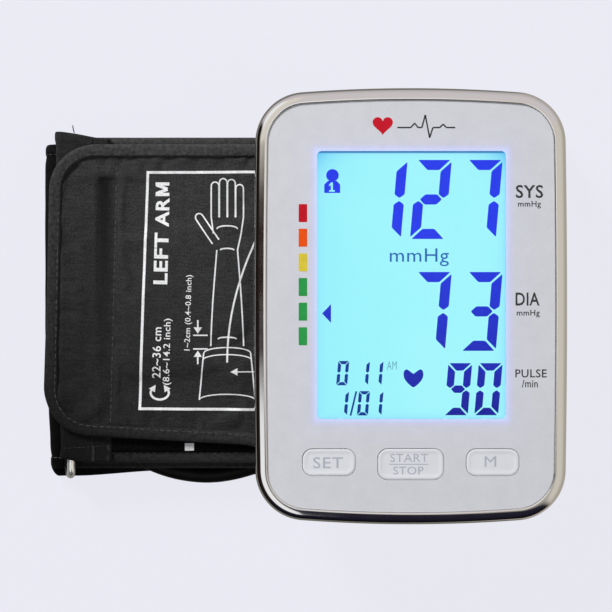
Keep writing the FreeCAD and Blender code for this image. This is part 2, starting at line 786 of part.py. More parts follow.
def fold_sizes():
    """The three folds: name, outer and inner radius, centre x, heights of the two centres, side."""
    return {
        "strap_turn": ("(arm_z) / 2", "strap_gap / 2", "cuff_left + arm_z / 2", "arm_z / 2",
                       "gap_floor + strap_gap / 2", False),
        "arm_turn": ("band_thick + arm_gap / 2", "arm_gap / 2", "cuff_right - 10",
                     "arm_z + arm_gap / 2", "arm_z + arm_gap / 2", True),
        "flap_turn": ("cuff_top / 2", "(flap_z - strap_thick) / 2", "cuff_right - cuff_top / 2",
                      "cuff_top / 2", "(flap_z + strap_thick) / 2", True),
    }


def band():
    """The layers that hold the bladder, and the bladder inside them."""
    arm_x = fold_sizes()["arm_turn"][2]
    inner = "strip_width - 2 * tape"
    low = "tape - strip_width / 2"
    bag_low = "-bladder_width / 2"
    bag_outer, bag_inner = "band_thick - cover + arm_gap / 2", "cover + arm_gap / 2"
    middle = "arm_z + arm_gap / 2"

    def bag(name, grow_by):
        deep = f"band_thick - 2 * cover + 2 * {grow_by}"
        wide = f"bladder_width + 2 * {grow_by}"
        y = f"{bag_low} - {grow_by}"
        upper = slab(f"{name}_upper", f"bladder_left - {grow_by}", arm_x, y, wide,
                     f"upper_z + cover - {grow_by}", deep)
        lower = slab(f"{name}_lower", f"bladder_far_left - {grow_by}", arm_x, y, wide,
                     f"lower_z + cover - {grow_by}", deep)
        turn = half_tube(f"{name}_turn", f"{bag_outer} + {grow_by}", f"{bag_inner} - {grow_by}", arm_x,
                         middle, middle, y, wide, True)
        return fuse(name, upper, lower, turn)

    piece("bladder", bag("bladder", "0"))
    space = bag("bladder_space", "0.05")
    upper = slab("upper_slab", "held_x + 3.8", arm_x, f"{low} + upper_shift", inner, "upper_z", "band_thick")
    lower = slab("lower_slab", "cuff_left + arm_z / 2", arm_x, low, inner, "lower_z", "band_thick")
    piece("upper_band", cut("upper_band", upper, space))
    foot = port_foot()
    hole = cylinder("port_hole", "port_radius + 0.05", "cover + 0.5",
                    (str(foot.x), str(foot.y), "lower_z - 0.2"))
    piece("lower_band", cut("lower_band", lower, space, hole))
    outer, hole, x, z_out, z_in, side = fold_sizes()["arm_turn"]
    turn = half_tube("arm_fold", outer, hole, x, z_out, z_in,
                     f"{low} + upper_shift", f"{inner} - upper_shift", side)
    piece("arm_fold", cut("arm_fold_cover", turn, space))


def strap():
    """The layers of the free end, as far as the flap's hinge line."""
    inner = "strip_width - 2 * tape"
    low = "tape - strip_width / 2"
    folds = fold_sizes()
    for label, fold in (("strap_fold", "strap_turn"), ("flap_fold", "flap_turn")):
        outer, hole, x, z_out, z_in, side = folds[fold]
        piece(label, half_tube(label, outer, hole, x, z_out, z_in, low, inner, side))
    left, right = folds["strap_turn"][2], folds["flap_turn"][2]
    piece("strap", slab("strap", left, right, low, inner, "0", "strap_thick"))
    a, b = value("flap_hinge + hinge_gap"), value(right)
    top, bottom = value("flap_top - tape"), value("flap_root_bottom + tape")
    far = value(low)
    outline = Part.makePolygon([V(a, bottom, 0), V(b, far, 0), V(b, -far, 0), V(a, top, 0), V(a, bottom, 0)])
    root = Part.Face(outline).extrude(UP * value("flap_thick"))
    root.translate(UP * value("flap_z"))
    piece("flap_root", feature("flap_root", root))


def bindings():
    """The tape along the strip's edges: a thin wall on each side of every layer and fold."""
    tapes = {"band_binding": [], "strap_binding": []}
    folds = fold_sizes()
    left, right, arm_x = folds["strap_turn"][2], folds["flap_turn"][2], folds["arm_turn"][2]
    edges = ("-strip_width / 2", "strip_width / 2 - tape")
    for y in edges:
        tapes["band_binding"].append(slab("upper_tape", "held_x + 3.8", arm_x, f"{y} + upper_shift", "tape",
                                          "upper_z", "band_thick"))
        tapes["band_binding"].append(slab("lower_tape", left, arm_x, y, "tape", "lower_z", "band_thick"))
        tapes["strap_binding"].append(slab("strap_tape", left, right, y, "tape", "0", "strap_thick"))
        for fold in ("strap_turn", "flap_turn"):
            outer, hole, x, z_out, z_in, side = folds[fold]
            fold_tape = half_tube("fold_tape", outer, hole, x, z_out, z_in, y, "tape", side)
            tapes["strap_binding"].append(fold_tape)
    for label, solids in tapes.items():
        piece(label, group(label, *solids))


def rounded_wire(corners):
    """A closed wire through corner points, each given with the radius that rounds it."""
    edges, ends = [], []
    count = len(corners)
    for i, (point, radius) in enumerate(corners):
        before = (corners[i - 1][0] - point).normalize()
        after = (corners[(i + 1) % count][0] - point).normalize()
        half_turn = (math.pi - before.getAngle(after)) / 2
        reach = radius * math.tan(half_turn)
        start, end = point + before * reach, point + after * reach
        if radius:
            middle = point + (before + after).normalize() * (radius / math.cos(half_turn) - radius)
            edges.append(Part.Arc(start, middle, end).toShape())
        ends.append((start, end))
    for i in range(count):
        edges.append(Part.LineSegment(ends[i][1], ends[(i + 1) % count][0]).toShape())
    return Part.Wire(Part.__sortEdges__(edges))


def flap_shape(inset, z, thick):
    right, left = value("flap_hinge"), value("flap_left") + inset
    top, radius = value("flap_top") - inset, value("flap_corner") - inset
    corners = (
        (V(right, top, 0), 0),
        (V(left + value("flap_lean"), top, 0), radius),
        (V(left - value("flap_lean"), value("flap_tip_bottom") + inset, 0), radius),
        (V(right, value("flap_root_bottom") + inset, 0), 0),
    )
    solid = Part.Face(rounded_wire(corners)).extrude(UP * value(thick))
    solid.translate(UP * value(z))
    return solid


def flap():
    outer = flap_shape(0.0, "flap_z", "flap_thick")
    inner = flap_shape(value("tape"), "flap_z", "flap_thick")
    piece("flap", feature("flap", inner))
    piece("flap_binding", feature("flap_binding", outer.cut(inner)))
    piece("hook_patch", box("hook_patch", ("38", "96", "hook_thick"), ("flap_left + 10", "-40", "hook_z")))
    piece("pile_patch", box("pile_patch",
                            ("flap_hinge - sleeve_right + 14", "strip_width - 10", "pile_thick"),
                            ("sleeve_right + 1", "upper_shift + 5 - strip_width / 2", "pile_z")))


def ring_path():
    """The ring's wire: two long bars joined by short sides, all corners rounded."""
    held = V(value("held_x"), 0, value("upper_z + band_thick / 2"))
    loose = V(value("loose_x"), 0, value("gap_floor + strap_gap / 2"))
    half = V(0, value("ring_length / 2 - ring_wire"), 0)
    bend = value("ring_bend")
    corners = (held - half, held + half, loose + half, loose - half)
    return rounded_wire([(corner, bend) for corner in corners])


def round_section(path, radius):
    """A circle across the start of a path."""
    edge = path.Edges[0]
    circle = Part.Circle(edge.valueAt(edge.FirstParameter), edge.tangentAt(edge.FirstParameter), radius)
    return Part.Wire([circle.toShape()])


def metal_ring():
    path = ring_path()
    section = round_section(path, value("ring_wire"))
    piece("metal_ring", feature("metal_ring", path.makePipeShell([section], True, True)))
    radius = "band_thick / 2 + sleeve_tape"
    middle = "upper_z + band_thick / 2"
    length, y = "strip_width - 1.5", "upper_shift - 1 - strip_width / 2"
    turn = half_tube("sleeve_turn", radius, "band_thick / 2", f"sleeve_left + {radius}", middle, middle,
                     y, length, False)
    start = f"sleeve_left + {radius}"
    top = slab("sleeve_top", start, "sleeve_right", y, length, "pile_z", "sleeve_tape")
    under = slab("sleeve_under", start, "sleeve_right", y, length, "upper_z - sleeve_tape", "sleeve_tape")
    piece("ring_sleeve", fuse("ring_sleeve", turn, top, under))


def port_foot():
    """Where the bladder's port turns down from the lower band, in line with the hose's first run."""
    first, second = V(*HOSE_ROUTE[0]), V(*HOSE_ROUTE[1])
    return first + (first - second).normalize() * value("port_reach")


def smooth_path(points):
    """Straight runs joined by the largest tangent arcs that they leave room for."""
    edges, here = [], points[0]
    for before, point, after in zip(points, points[1:], points[2:]):
        back, ahead = before - point, after - point
        half_turn = (math.pi - back.getAngle(ahead)) / 2
        reach = 0.45 * min(back.Length, ahead.Length)
        radius = reach / math.tan(half_turn)
        print(f"bend radius {radius:.1f} mm")
        start = point + V(back).normalize() * reach
        end = point + V(ahead).normalize() * reach
        bisector = (V(back).normalize() + V(ahead).normalize()).normalize()
        middle = point + bisector * (radius / math.cos(half_turn) - radius)
        edges.append(Part.LineSegment(here, start).toShape())
        edges.append(Part.Arc(start, middle, end).toShape())
        here = end
    edges.append(Part.LineSegment(here, points[-1]).toShape())
    return Part.Wire(edges)


def tube(path, radius):
    made = path.makePipeShell([round_section(path, radius)], True, False)
    share = made.Volume / (math.pi * radius**2 * path.Length)
    if abs(share - 1) > 0.01:
        raise SystemExit(f"tube volume is {share:.3f} of its section times its length")
    return made


def hose():
    points = [V(*p) for p in HOSE_ROUTE]
    path = smooth_path(points)
    print(f"hose lead length {path.Length:.1f} mm")
    piece("hose_lead", feature("hose_lead", tube(path, value("hose_radius"))))
    foot = port_foot()
    radius = value("port_radius")
    spout = Part.makeCylinder(radius, value("port_reach"), foot, points[0] - foot)
    neck = Part.makeCylinder(radius, value("lower_z + cover") - foot.z + radius, foot - UP * radius)
    flange = Part.makeCylinder(value("port_flange"), 0.8, V(foot.x, foot.y, value("lower_z - 0.8")))
    piece("hose_port", feature("hose_port", spout.fuse(neck).fuse(flange).removeSplitter()))
    ring_in, ring_out = "coil_radius - 2 * hose_radius", "coil_radius + 2 * hose_radius"
    base = ("coil_x", "coil_y", "0")
    floor_turns = cut("floor_turns", cylinder("coil_outer", ring_out, "2 * hose_radius", base),
                      cylinder("coil_inner", ring_in, "2 * hose_radius", base))
    top_base = ("coil_x", "coil_y", "2 * hose_radius")
    arc_turn = (UP, value("coil_end - coil_rise"))
    top_turn = cut("top_turn",
                   cylinder("top_outer", "coil_radius + hose_radius", "2 * hose_radius", top_base,
                            arc_turn, "coil_rise"),
                   cylinder("top_inner", "coil_radius - hose_radius", "2 * hose_radius", top_base))
    piece("hose_coil", fuse("hose_coil", floor_turns, top_turn))


def plug():
    """Lies on the coil, in line with the hose's end."""
    angle = math.radians(value("coil_end"))
    radius = value("coil_radius")
    aim = V(-math.sin(angle), math.cos(angle), 0)
    end = V(value("coil_x") + radius * math.cos(angle), value("coil_y") + radius * math.sin(angle),
            value("2 * hose_radius + plug_radius + 0.05"))
    grip_length, nozzle_length = value("plug_grip"), value("plug_nozzle")
    grip = Part.makeCylinder(value("plug_radius - 0.5"), grip_length, end, aim)
    collar = Part.makeCylinder(value("plug_radius"), 1.6, end + aim * (grip_length - 1.6), aim)
    piece("air_plug", feature("air_plug", grip.fuse(collar).removeSplitter()))
    nozzle = Part.makeCylinder(value("air_bore - 0.05"), nozzle_length, end + aim * grip_length, aim)
    bore = Part.makeCylinder(1.0, nozzle_length, end + aim * grip_length, aim)
    piece("plug_nozzle", feature("plug_nozzle", nozzle.cut(bore)))


def save():
    """Recomputes, checks every object, then writes one STEP file for each sub-part."""
    doc.recompute()
    for thing in doc.Objects:
        if set(thing.State) & {"Invalid", "Error"}:
            raise SystemExit(f"{thing.Label} did not compute: {thing.State}")
    os.makedirs("parts", exist_ok=True)
    for thing in PIECES:
        shape = thing.Shape
        if shape.isNull() or not shape.isValid() or not shape.Solids:
            raise SystemExit(f"{thing.Label} has no valid solid")
        shape.exportStep(os.path.join("parts", f"{thing.Label}.step"))
    print(len(PIECES), "sub-parts")


bezel()
face_panel()
display()
front_case()
rear_case()
battery_box()
battery_lid()
batteries()
buttons()
electronics()
pump()
sockets()
air_lines()
feet()
band()
strap()
bindings()
flap()
metal_ring()
hose()
plug()
save()
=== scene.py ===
"""Looks for the upper-arm blood pressure set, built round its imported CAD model.

Everything is in the frame of the CAD model, in metres; MM turns millimetres into them.
+X is to the right of the display, +Y to its top edge and +Z out of its face.
"""

import math

import bmesh
import bpy
import numpy as np
from mathutils import Matrix, Vector, noise
from mathutils.bvhtree import BVHTree


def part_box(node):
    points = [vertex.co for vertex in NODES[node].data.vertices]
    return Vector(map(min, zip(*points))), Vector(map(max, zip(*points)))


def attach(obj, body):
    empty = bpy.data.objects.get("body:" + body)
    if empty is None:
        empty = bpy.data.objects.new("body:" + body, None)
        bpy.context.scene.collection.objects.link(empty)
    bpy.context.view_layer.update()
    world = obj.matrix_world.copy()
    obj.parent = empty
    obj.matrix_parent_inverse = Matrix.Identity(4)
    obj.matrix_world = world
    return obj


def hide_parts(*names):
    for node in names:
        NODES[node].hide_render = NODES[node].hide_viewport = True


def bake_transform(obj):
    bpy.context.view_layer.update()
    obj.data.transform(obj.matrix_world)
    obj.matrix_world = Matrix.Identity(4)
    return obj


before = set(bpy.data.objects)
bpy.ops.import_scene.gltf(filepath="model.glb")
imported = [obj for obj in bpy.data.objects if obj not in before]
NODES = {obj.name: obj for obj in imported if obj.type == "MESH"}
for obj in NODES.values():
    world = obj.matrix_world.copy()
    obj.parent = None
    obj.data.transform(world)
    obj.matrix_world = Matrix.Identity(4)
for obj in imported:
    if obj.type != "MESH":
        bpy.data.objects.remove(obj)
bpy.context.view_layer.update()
MM = 0.001

CAMERA_PLACE = (2.63, 0.1, 947.0)
CAMERA_FIELD = 254.6
CAMERA_REACH = 900.0
SENSOR = 36.0
HIGHLIGHT_WAY = (-0.5, 0.52, 0.69)
FLOOR_HALF, FLOOR_LEVEL = 3.0, -0.00005


# ---------------------------------------------------------------- colours and materials


def screen(red, green, blue):
    """The linear colour of a screen colour given from 0 to 255."""
    shares = [c / 255 for c in (red, green, blue)]
    return tuple(c / 12.92 if c <= 0.04045 else ((c + 0.055) / 1.055) ** 2.4 for c in shares) + (1.0,)


def grey(level):
    return screen(level, level, level)


class Look:
    """A Principled material and the textures that vary it over the surface."""

    def __init__(self, name, colour, rough, space="Object", **sockets):
        self.material = bpy.data.materials.new(name)
        self.material.use_nodes = True
        self.nodes = self.material.node_tree.nodes
        self.links = self.material.node_tree.links
        self.shader = self.nodes["Principled BSDF"]
        self.colour = colour
        self.set("Base Color", colour)
        self.set("Roughness", rough)
        for socket, number in sockets.items():
            self.set(socket.replace("_", " "), number)
        coordinates = self.nodes.new("ShaderNodeTexCoord").outputs
        self.place, self.whole = coordinates[space], coordinates["Object"]
        self.height = None

    def set(self, socket, number):
        self.shader.inputs[socket].default_value = number

    def add(self, kind, inputs=(), **settings):
        """A node with its settings, and inputs given as (socket, number or output) pairs."""
        node = self.nodes.new(kind)
        for key, setting in settings.items():
            setattr(node, key, setting)
        for socket, source in inputs:
            if isinstance(source, bpy.types.NodeSocket):
                self.links.new(source, node.inputs[socket])
            else:
                node.inputs[socket].default_value = source
        return node

    def noise(self, size, detail=3.0, stretch=(1, 1, 1)):
        """Fractal noise with features about size metres across."""
        mapped = self.add("ShaderNodeMapping", [("Vector", self.place), ("Scale", stretch)])
        inputs = [("Vector", mapped.outputs[0]), ("Scale", 1 / size), ("Detail", detail)]
        return self.add("ShaderNodeTexNoise", inputs).outputs["Fac"]

    def cells(self, size, kind="F1"):
        made = self.add("ShaderNodeTexVoronoi", [("Vector", self.place), ("Scale", 1 / size)], feature=kind)
        return made.outputs["Distance"]

    def ranged(self, source, low, high, start=0.0, end=1.0):
        """Source from start to end becomes low to high."""
        inputs = [("Value", source), ("From Min", start), ("From Max", end)]
        inputs += [("To Min", low), ("To Max", high)]
        return self.add("ShaderNodeMapRange", inputs).outputs[0]

    def math(self, operation, first, second=0.0):
        return self.add("ShaderNodeMath", [(0, first), (1, second)], operation=operation).outputs[0]

    def mixed(self, share, first, second, blend="MIX"):
        """One colour turning into another as share goes from 0 to 1."""
        node = self.add("ShaderNodeMix", [("Factor", share)], data_type="RGBA", blend_type=blend)
        for socket, source in ((6, first), (7, second)):
            if isinstance(source, bpy.types.NodeSocket):
                self.links.new(source, node.inputs[socket])
            else:
                node.inputs[socket].default_value = source
        return node.outputs[2]

    def axes(self):
        return self.add("ShaderNodeSeparateXYZ", [(0, self.place)]).outputs

    def feed(self, socket, source):
        self.links.new(source, self.shader.inputs[socket])

    def shade(self, source, first, second, start=0.3, end=0.7):
        """The base colour goes from first to second with a texture."""
        self.feed("Base Color", self.mixed(self.ranged(source, 0, 1, start, end), first, second))

    def rough(self, source, low, high):
        self.feed("Roughness", self.ranged(source, low, high, 0.25, 0.75))

    def bump(self, source, depth, strength=1.0):
        """Adds relief of that depth in metres, on top of any relief already there."""
        inputs = [("Height", source), ("Distance", depth), ("Strength", strength)]
        if self.height is not None:
            inputs.append(("Normal", self.height))
        self.height = self.add("ShaderNodeBump", inputs).outputs[0]
        self.feed("Normal", self.height)

    def glow(self, colour, strength):
        send = self.feed if isinstance(colour, bpy.types.NodeSocket) else self.set
        send("Emission Color", colour)
        self.set("Emission Strength", strength)


def weave(look, pitch, depth, spread=0.25):
    """Plain weave: threads across and along by turns, pitch metres apart, on a cloth's own coordinates."""
    across, along = look.axes()[0], look.axes()[1]
    waves = []
    for direction in (across, along):
        turned = look.math("MULTIPLY", direction, math.pi / pitch)
        waves.append(look.math("ABSOLUTE", look.math("SINE", turned)))
    scaled = look.add("ShaderNodeMapping", [("Vector", look.place), ("Scale", (1 / pitch, 1 / pitch, 1))])
    checks = look.add("ShaderNodeTexChecker", [("Vector", scaled.outputs[0]), ("Scale", 1.0)]).outputs["Fac"]
    over = look.math("MULTIPLY", checks, waves[0])
    under = look.math("MULTIPLY", look.math("SUBTRACT", 1.0, checks), waves[1])
    threads = look.math("ADD", over, under)
    look.bump(threads, depth)
    return look.ranged(threads, 1 - spread, 1 + spread)


def moulded(name, colour, rough=0.45, grain=0.0006, depth=0.00002, **sockets):
    """Moulded plastic: fine grain, slight colour and gloss changes."""
    look = Look(name, colour, rough, **sockets)
    darker = tuple(c * 0.94 for c in colour[:3]) + (1.0,)
    look.shade(look.noise(0.02, 2.0), darker, colour)
    look.rough(look.noise(0.004), rough - 0.05, rough + 0.08)
    look.bump(look.noise(grain, 2.0), depth)
    return look.material


def brushed(name, colour, rough=0.3, stretch=(1, 12, 1), depth=0.000008):
    """Drawn or rolled metal, with fine lines along one axis."""
    look = Look(name, colour, rough, Metallic=1.0)
    lines = look.noise(0.003, 4.0, stretch)
    darker = tuple(c * 0.8 for c in colour[:3]) + (1.0,)
    look.shade(lines, darker, colour)
    look.rough(lines, rough - 0.08, rough + 0.12)
    look.bump(lines, depth)
    return look.material


def chrome():
    look = Look("chrome_trim", grey(228), 0.06, Metallic=1.0)
    look.rough(look.noise(0.012, 3.0), 0.05, 0.1)
    look.bump(look.noise(0.03, 1.0), 0.000006)
    return look.material


def ring_chrome():
    look = Look("ring_chrome", grey(242), 0.12, Metallic=0.8)
    look.rough(look.noise(0.003, 4.0), 0.08, 0.2)
    look.bump(look.noise(0.0015, 3.0), 0.00001)
    return look.material


def rubber(name, level):
    look = Look(name, grey(level), 0.6, Specular_IOR_Level=0.35)
    look.shade(look.noise(0.006), grey(level - 6), grey(level + 8))
    look.rough(look.noise(0.002), 0.5, 0.72)
    look.bump(look.noise(0.0004, 2.0), 0.00001)
    return look.material


def hose_rubber():
    """Smooth black hose with a faint bloom."""
    look = Look("hose_rubber", grey(8), 0.5, Specular_IOR_Level=0.16)
    look.shade(look.noise(0.008, 4.0), grey(4), grey(13))
    look.rough(look.noise(0.003), 0.44, 0.62)
    look.bump(look.noise(0.0007, 2.0), 0.000012)
    return look.material


# ---------------------------------------------------------------- stage, light and camera


def sky():
    """A studio pattern that mirrors see; the camera and soft light each see one plain colour instead."""
    world = bpy.data.worlds.new("studio")
    world.use_nodes = True
    bpy.context.scene.world = world
    nodes, links = world.node_tree.nodes, world.node_tree.links
    background = nodes["Background"]
    direction = nodes.new("ShaderNodeTexCoord").outputs["Generated"]
    split = nodes.new("ShaderNodeSeparateXYZ")
    links.new(direction, split.inputs[0])

    def band(source, start, end):
        """0 before start and 1 after end, smoothly."""
        node = nodes.new("ShaderNodeMapRange")
        node.interpolation_type = "SMOOTHSTEP"
        links.new(source, node.inputs["Value"])
        node.inputs["From Min"].default_value, node.inputs["From Max"].default_value = start, end
        return node.outputs[0]

    def times(first, second):
        node = nodes.new("ShaderNodeMath")
        node.operation = "MULTIPLY"
        links.new(first, node.inputs[0])
        links.new(second, node.inputs[1])
        return node.outputs[0]

    def turn_to(share, below, above):
        node = nodes.new("ShaderNodeMix")
        node.data_type = "RGBA"
        links.new(share, node.inputs["Factor"])
        for socket, source in ((6, below), (7, above)):
            if isinstance(source, tuple):
                node.inputs[socket].default_value = source
            else:
                links.new(source, node.inputs[socket])
        return node.outputs[2]

    def diagonal(side, spread):
        """How far a direction leans to the back (side 1) or front (-1), less how far it leans sideways."""
        lean = nodes.new("ShaderNodeMath")
        lean.operation = "MULTIPLY_ADD"
        links.new(split.outputs[1], lean.inputs[0])
        lean.inputs[1].default_value = side * spread
        width = nodes.new("ShaderNodeMath")
        width.operation = "ABSOLUTE"
        links.new(split.outputs[0], width.inputs[0])
        less = nodes.new("ShaderNodeMath")
        less.operation = "MULTIPLY"
        less.inputs[1].default_value = -1.0
        links.new(width.outputs[0], less.inputs[0])
        links.new(less.outputs[0], lean.inputs[2])
        return lean.outputs[0]

    x, y, z = split.outputs
    right, left = band(x, 0.05, 0.1), band(x, -0.03, -0.07)
    back, front = band(y, 0.05, 0.1), band(y, -0.02, -0.06)
    beige = turn_to(band(z, 0.8, -0.1), screen(220, 212, 199), screen(176, 168, 156))
    rose = turn_to(band(z, 0.8, -0.1), screen(220, 212, 213), screen(190, 184, 186))
    brown = turn_to(band(z, 0.9, 0.05), screen(46, 34, 34), screen(15, 11, 11))
    ink = turn_to(band(z, 0.9, 0.05), screen(34, 32, 46), screen(10, 8, 10))
    colour = turn_to(right, screen(255, 251, 246), beige)
    colour = turn_to(left, colour, brown)
    along_back = band(diagonal(1.0, 1.9), -0.15, 0.15)
    colour = turn_to(times(back, along_back), colour, rose)
    along_front = band(diagonal(-1.0, 1.0), -0.1, 0.1)
    colour = turn_to(times(front, along_front), colour, ink)
    cream = times(times(left, back), band(z, 0.55, 0.8))
    colour = turn_to(cream, colour, screen(234, 228, 214))
    toward = nodes.new("ShaderNodeVectorMath")
    toward.operation = "DOT_PRODUCT"
    links.new(direction, toward.inputs[0])
    toward.inputs[1].default_value = HIGHLIGHT_WAY
    colour = turn_to(band(toward.outputs["Value"], 0.94, 0.98), colour, screen(255, 255, 255))
    card = times(times(left, front), band(z, 0.72, 0.8))
    colour = turn_to(card, colour, screen(255, 255, 255))
    camera_ray = nodes.new("ShaderNodeLightPath").outputs["Is Camera Ray"]
    colour = turn_to(camera_ray, colour, screen(234, 234, 243))
    soft_ray = nodes.new("ShaderNodeLightPath").outputs["Is Diffuse Ray"]
    colour = turn_to(soft_ray, colour, screen(108, 109, 113))
    links.new(colour, background.inputs["Color"])
    background.inputs["Strength"].default_value = 1.0


def floor():
    """A plain pale floor. It glows, so it shows only a faint shadow, and mirror reflections see it darker."""
    corners = [(-1, -1), (1, -1), (1, 1), (-1, 1)]
    mesh = bpy.data.meshes.new("floor")
    mesh.from_pydata([(x * FLOOR_HALF, y * FLOOR_HALF, FLOOR_LEVEL) for x, y in corners], [], [(0, 1, 2, 3)])
    thing = bpy.data.objects.new("floor", mesh)
    bpy.context.scene.collection.objects.link(thing)
    look = Look("floor_paper", screen(58, 58, 63), 0.9, Specular_IOR_Level=0.0)
    seen_in_gloss = look.nodes.new("ShaderNodeLightPath").outputs["Is Glossy Ray"]
    glow = look.mixed(look.noise(0.4, 2.0), screen(229, 229, 238), screen(230, 230, 239))
    to_right = look.ranged(look.axes()[0], 0, 1, 0.105, 0.125)
    card = look.mixed(to_right, screen(112, 110, 98), screen(178, 170, 156))
    look.glow(look.mixed(seen_in_gloss, glow, card), 1.0)
    mesh.materials.append(look.material)


def lamp(name, place, size, power):
    """A square soft light that points at the middle of the set; the surroundings give the reflections."""
    data = bpy.data.lights.new(name, "AREA")
    data.size, data.energy = size, power
    thing = bpy.data.objects.new(name, data)
    bpy.context.scene.collection.objects.link(thing)
    thing.location = place
    thing.rotation_euler = (-Vector(place)).to_track_quat("-Z", "Y").to_euler()
    thing.visible_glossy = False


def camera():
    data = bpy.data.cameras.new("camera")
    data.sensor_width = SENSOR
    data.lens = SENSOR * CAMERA_REACH / CAMERA_FIELD
    data.clip_start, data.clip_end = 0.05, 20.0
    thing = bpy.data.objects.new("camera", data)
    bpy.context.scene.collection.objects.link(thing)
    thing.location = [c * MM for c in CAMERA_PLACE]
    bpy.context.scene.camera = thing


# ---------------------------------------------------------------- mesh helpers

TAU = 2 * math.pi


def link(name, points, faces, material=None, uv=None, smooth=True):
    """A new object from points in millimetres; uv gives each point's place on the cloth, in metres."""
    mesh = bpy.data.meshes.new(name)
    mesh.from_pydata([tuple(c * MM for c in point) for point in points], [], faces)
    if uv is not None:
        layer = mesh.uv_layers.new(name="cloth")
        for loop in mesh.loops:
            layer.data[loop.index].uv = uv[loop.vertex_index]
    made = bmesh.new()
    made.from_mesh(mesh)
    bmesh.ops.recalc_face_normals(made, faces=made.faces)
    made.to_mesh(mesh)
    made.free()
    thing = bpy.data.objects.new(name, mesh)
    bpy.context.scene.collection.objects.link(thing)
    if material is not None:
        mesh.materials.append(material)
    mesh.polygons.foreach_set("use_smooth", [smooth] * len(mesh.polygons))
    return thing


def finish_mesh(thing):
    """Applies the modifiers on a piece."""
    bpy.context.view_layer.update()
    shaped = thing.evaluated_get(bpy.context.evaluated_depsgraph_get())
    mesh = bpy.data.meshes.new_from_object(shaped)
    thing.modifiers.clear()
    thing.data = mesh


def subdivide(thing, levels=1):
    thing.modifiers.new("smooth", "SUBSURF").levels = levels
    finish_mesh(thing)


def points_of(mesh):
    flat = np.zeros(len(mesh.vertices) * 3)
    mesh.vertices.foreach_get("co", flat)
    return flat.reshape(-1, 3) / MM


def set_points(mesh, points):
    mesh.vertices.foreach_set("co", (points * MM).astype(np.float32).ravel())
    mesh.update()


def eased(number, start, end):
    """0 before start, 1 after end, smooth between. Works on numbers and on arrays."""
    share = np.clip((number - start) / (end - start), 0.0, 1.0)
    return share * share * (3 - 2 * share)


def rough_at(point, size, seed=0.0):
    """Smooth noise from -1 to 1 with features about size millimetres across."""
    return noise.noise(Vector(point) / size + Vector((seed, seed * 1.7, seed * 0.3)))


def closed_sheet(name, columns, material):
    """One closed cloth from columns of (upper point, lower point, place on the cloth in metres)."""
    count, rows = len(columns), len(columns[0])
    spots = [spot for column in columns for spot in column]
    points = [spot[0] for spot in spots] + [spot[1] for spot in spots]
    faces = []

    def index(side, i, j):
        return side * len(spots) + i * rows + j

    for i in range(count - 1):
        for j in range(rows - 1):
            corners = [(i, j), (i + 1, j), (i + 1, j + 1), (i, j + 1)]
            faces.append([index(0, *c) for c in corners])
            faces.append([index(1, *c) for c in reversed(corners)])
    for i in range(count - 1):
        for j in (0, rows - 1):
            faces.append([index(0, i, j), index(1, i, j), index(1, i + 1, j), index(0, i + 1, j)])
    for j in range(rows - 1):
        for i in (0, count - 1):
            faces.append([index(0, i, j), index(0, i, j + 1), index(1, i, j + 1), index(1, i, j)])
    return link(name, points, faces, material, uv=[spot[2] for spot in spots] * 2)


def skin(rings, count, first=0):
    """Faces between rings of count points, one after another, and over the first and the last ring."""
    faces = []
    for ring in range(rings - 1):
        for k in range(count):
            a, b = first + ring * count + k, first + ring * count + (k + 1) % count
            faces.append((a, b, b + count, a + count))
    for ring in (0, rings - 1):
        faces.append(tuple(first + ring * count + k for k in range(count)))
    return faces


def simulate(thing, held, growth, pressure=4.0, frames=20):
    """Blender's cloth, blown up a little, with the held points kept in place. Returns the moved points."""
    scene = bpy.context.scene
    group = thing.vertex_groups.new(name="held")
    group.add([int(i) for i in np.flatnonzero(held)], 1.0, "REPLACE")
    cloth = thing.modifiers.new("cloth", "CLOTH")
    settings = cloth.settings
    settings.quality = 5
    settings.mass = 0.001
    settings.use_pressure = True
    settings.uniform_pressure_force = pressure
    settings.vertex_group_mass = "held"
    settings.effector_weights.gravity = 0
    settings.shrink_min = -growth
    settings.tension_stiffness = settings.compression_stiffness = 15
    settings.shear_stiffness = 5
    settings.bending_stiffness = 0.2
    cloth.point_cache.frame_start, cloth.point_cache.frame_end = 1, frames
    for step in range(1, frames + 1):
        scene.frame_set(step)
    shaped = thing.evaluated_get(bpy.context.evaluated_depsgraph_get())
    moved = points_of(shaped.data)
    thing.modifiers.remove(cloth)
    thing.vertex_groups.remove(group)
    scene.frame_set(1)
    return moved


class Surface:
    """Finds the height of a finished piece's upper side, in millimetres."""

    def __init__(self, *things):
        self.trees = []
        self.last = 0.0
        for thing in things:
            faces = [tuple(p.vertices) for p in thing.data.polygons]
            self.trees.append(BVHTree.FromPolygons([v.co / MM for v in thing.data.vertices], faces))

    def height(self, x, y, above=60.0):
        """The height there, or the last one found where a thread runs just past the edge."""
        hits = [tree.ray_cast(Vector((x, y, above)), Vector((0, 0, -1))) for tree in self.trees]
        heights = [hit[0].z for hit in hits if hit[0] is not None]
        self.last = max(heights) if heights else self.last
        return self.last

    def drape(self, x, y, lift=0.05):
        return (x, y, self.height(x, y) + lift)


# ---------------------------------------------------------------- cloth materials


def painted_light_falloff(look, tone, bend=1.0):
    """Painted shade: the tone made deeper towards the cuff's lower left, a fall-off of light painted into the
    colour and fixed to the cuff.
    """
    x, y, _ = look.add("ShaderNodeSeparateXYZ", [(0, look.whole)]).outputs
    along_cuff = look.math("ADD", x, look.math("MULTIPLY", y, 0.9))
    share = look.math("MINIMUM", look.math("MAXIMUM", look.ranged(along_cuff, 0, 1, -0.172, 0.0), 0.04), 1.0)
    return look.mixed(1.0, tone, look.math("POWER", share, bend), "MULTIPLY")


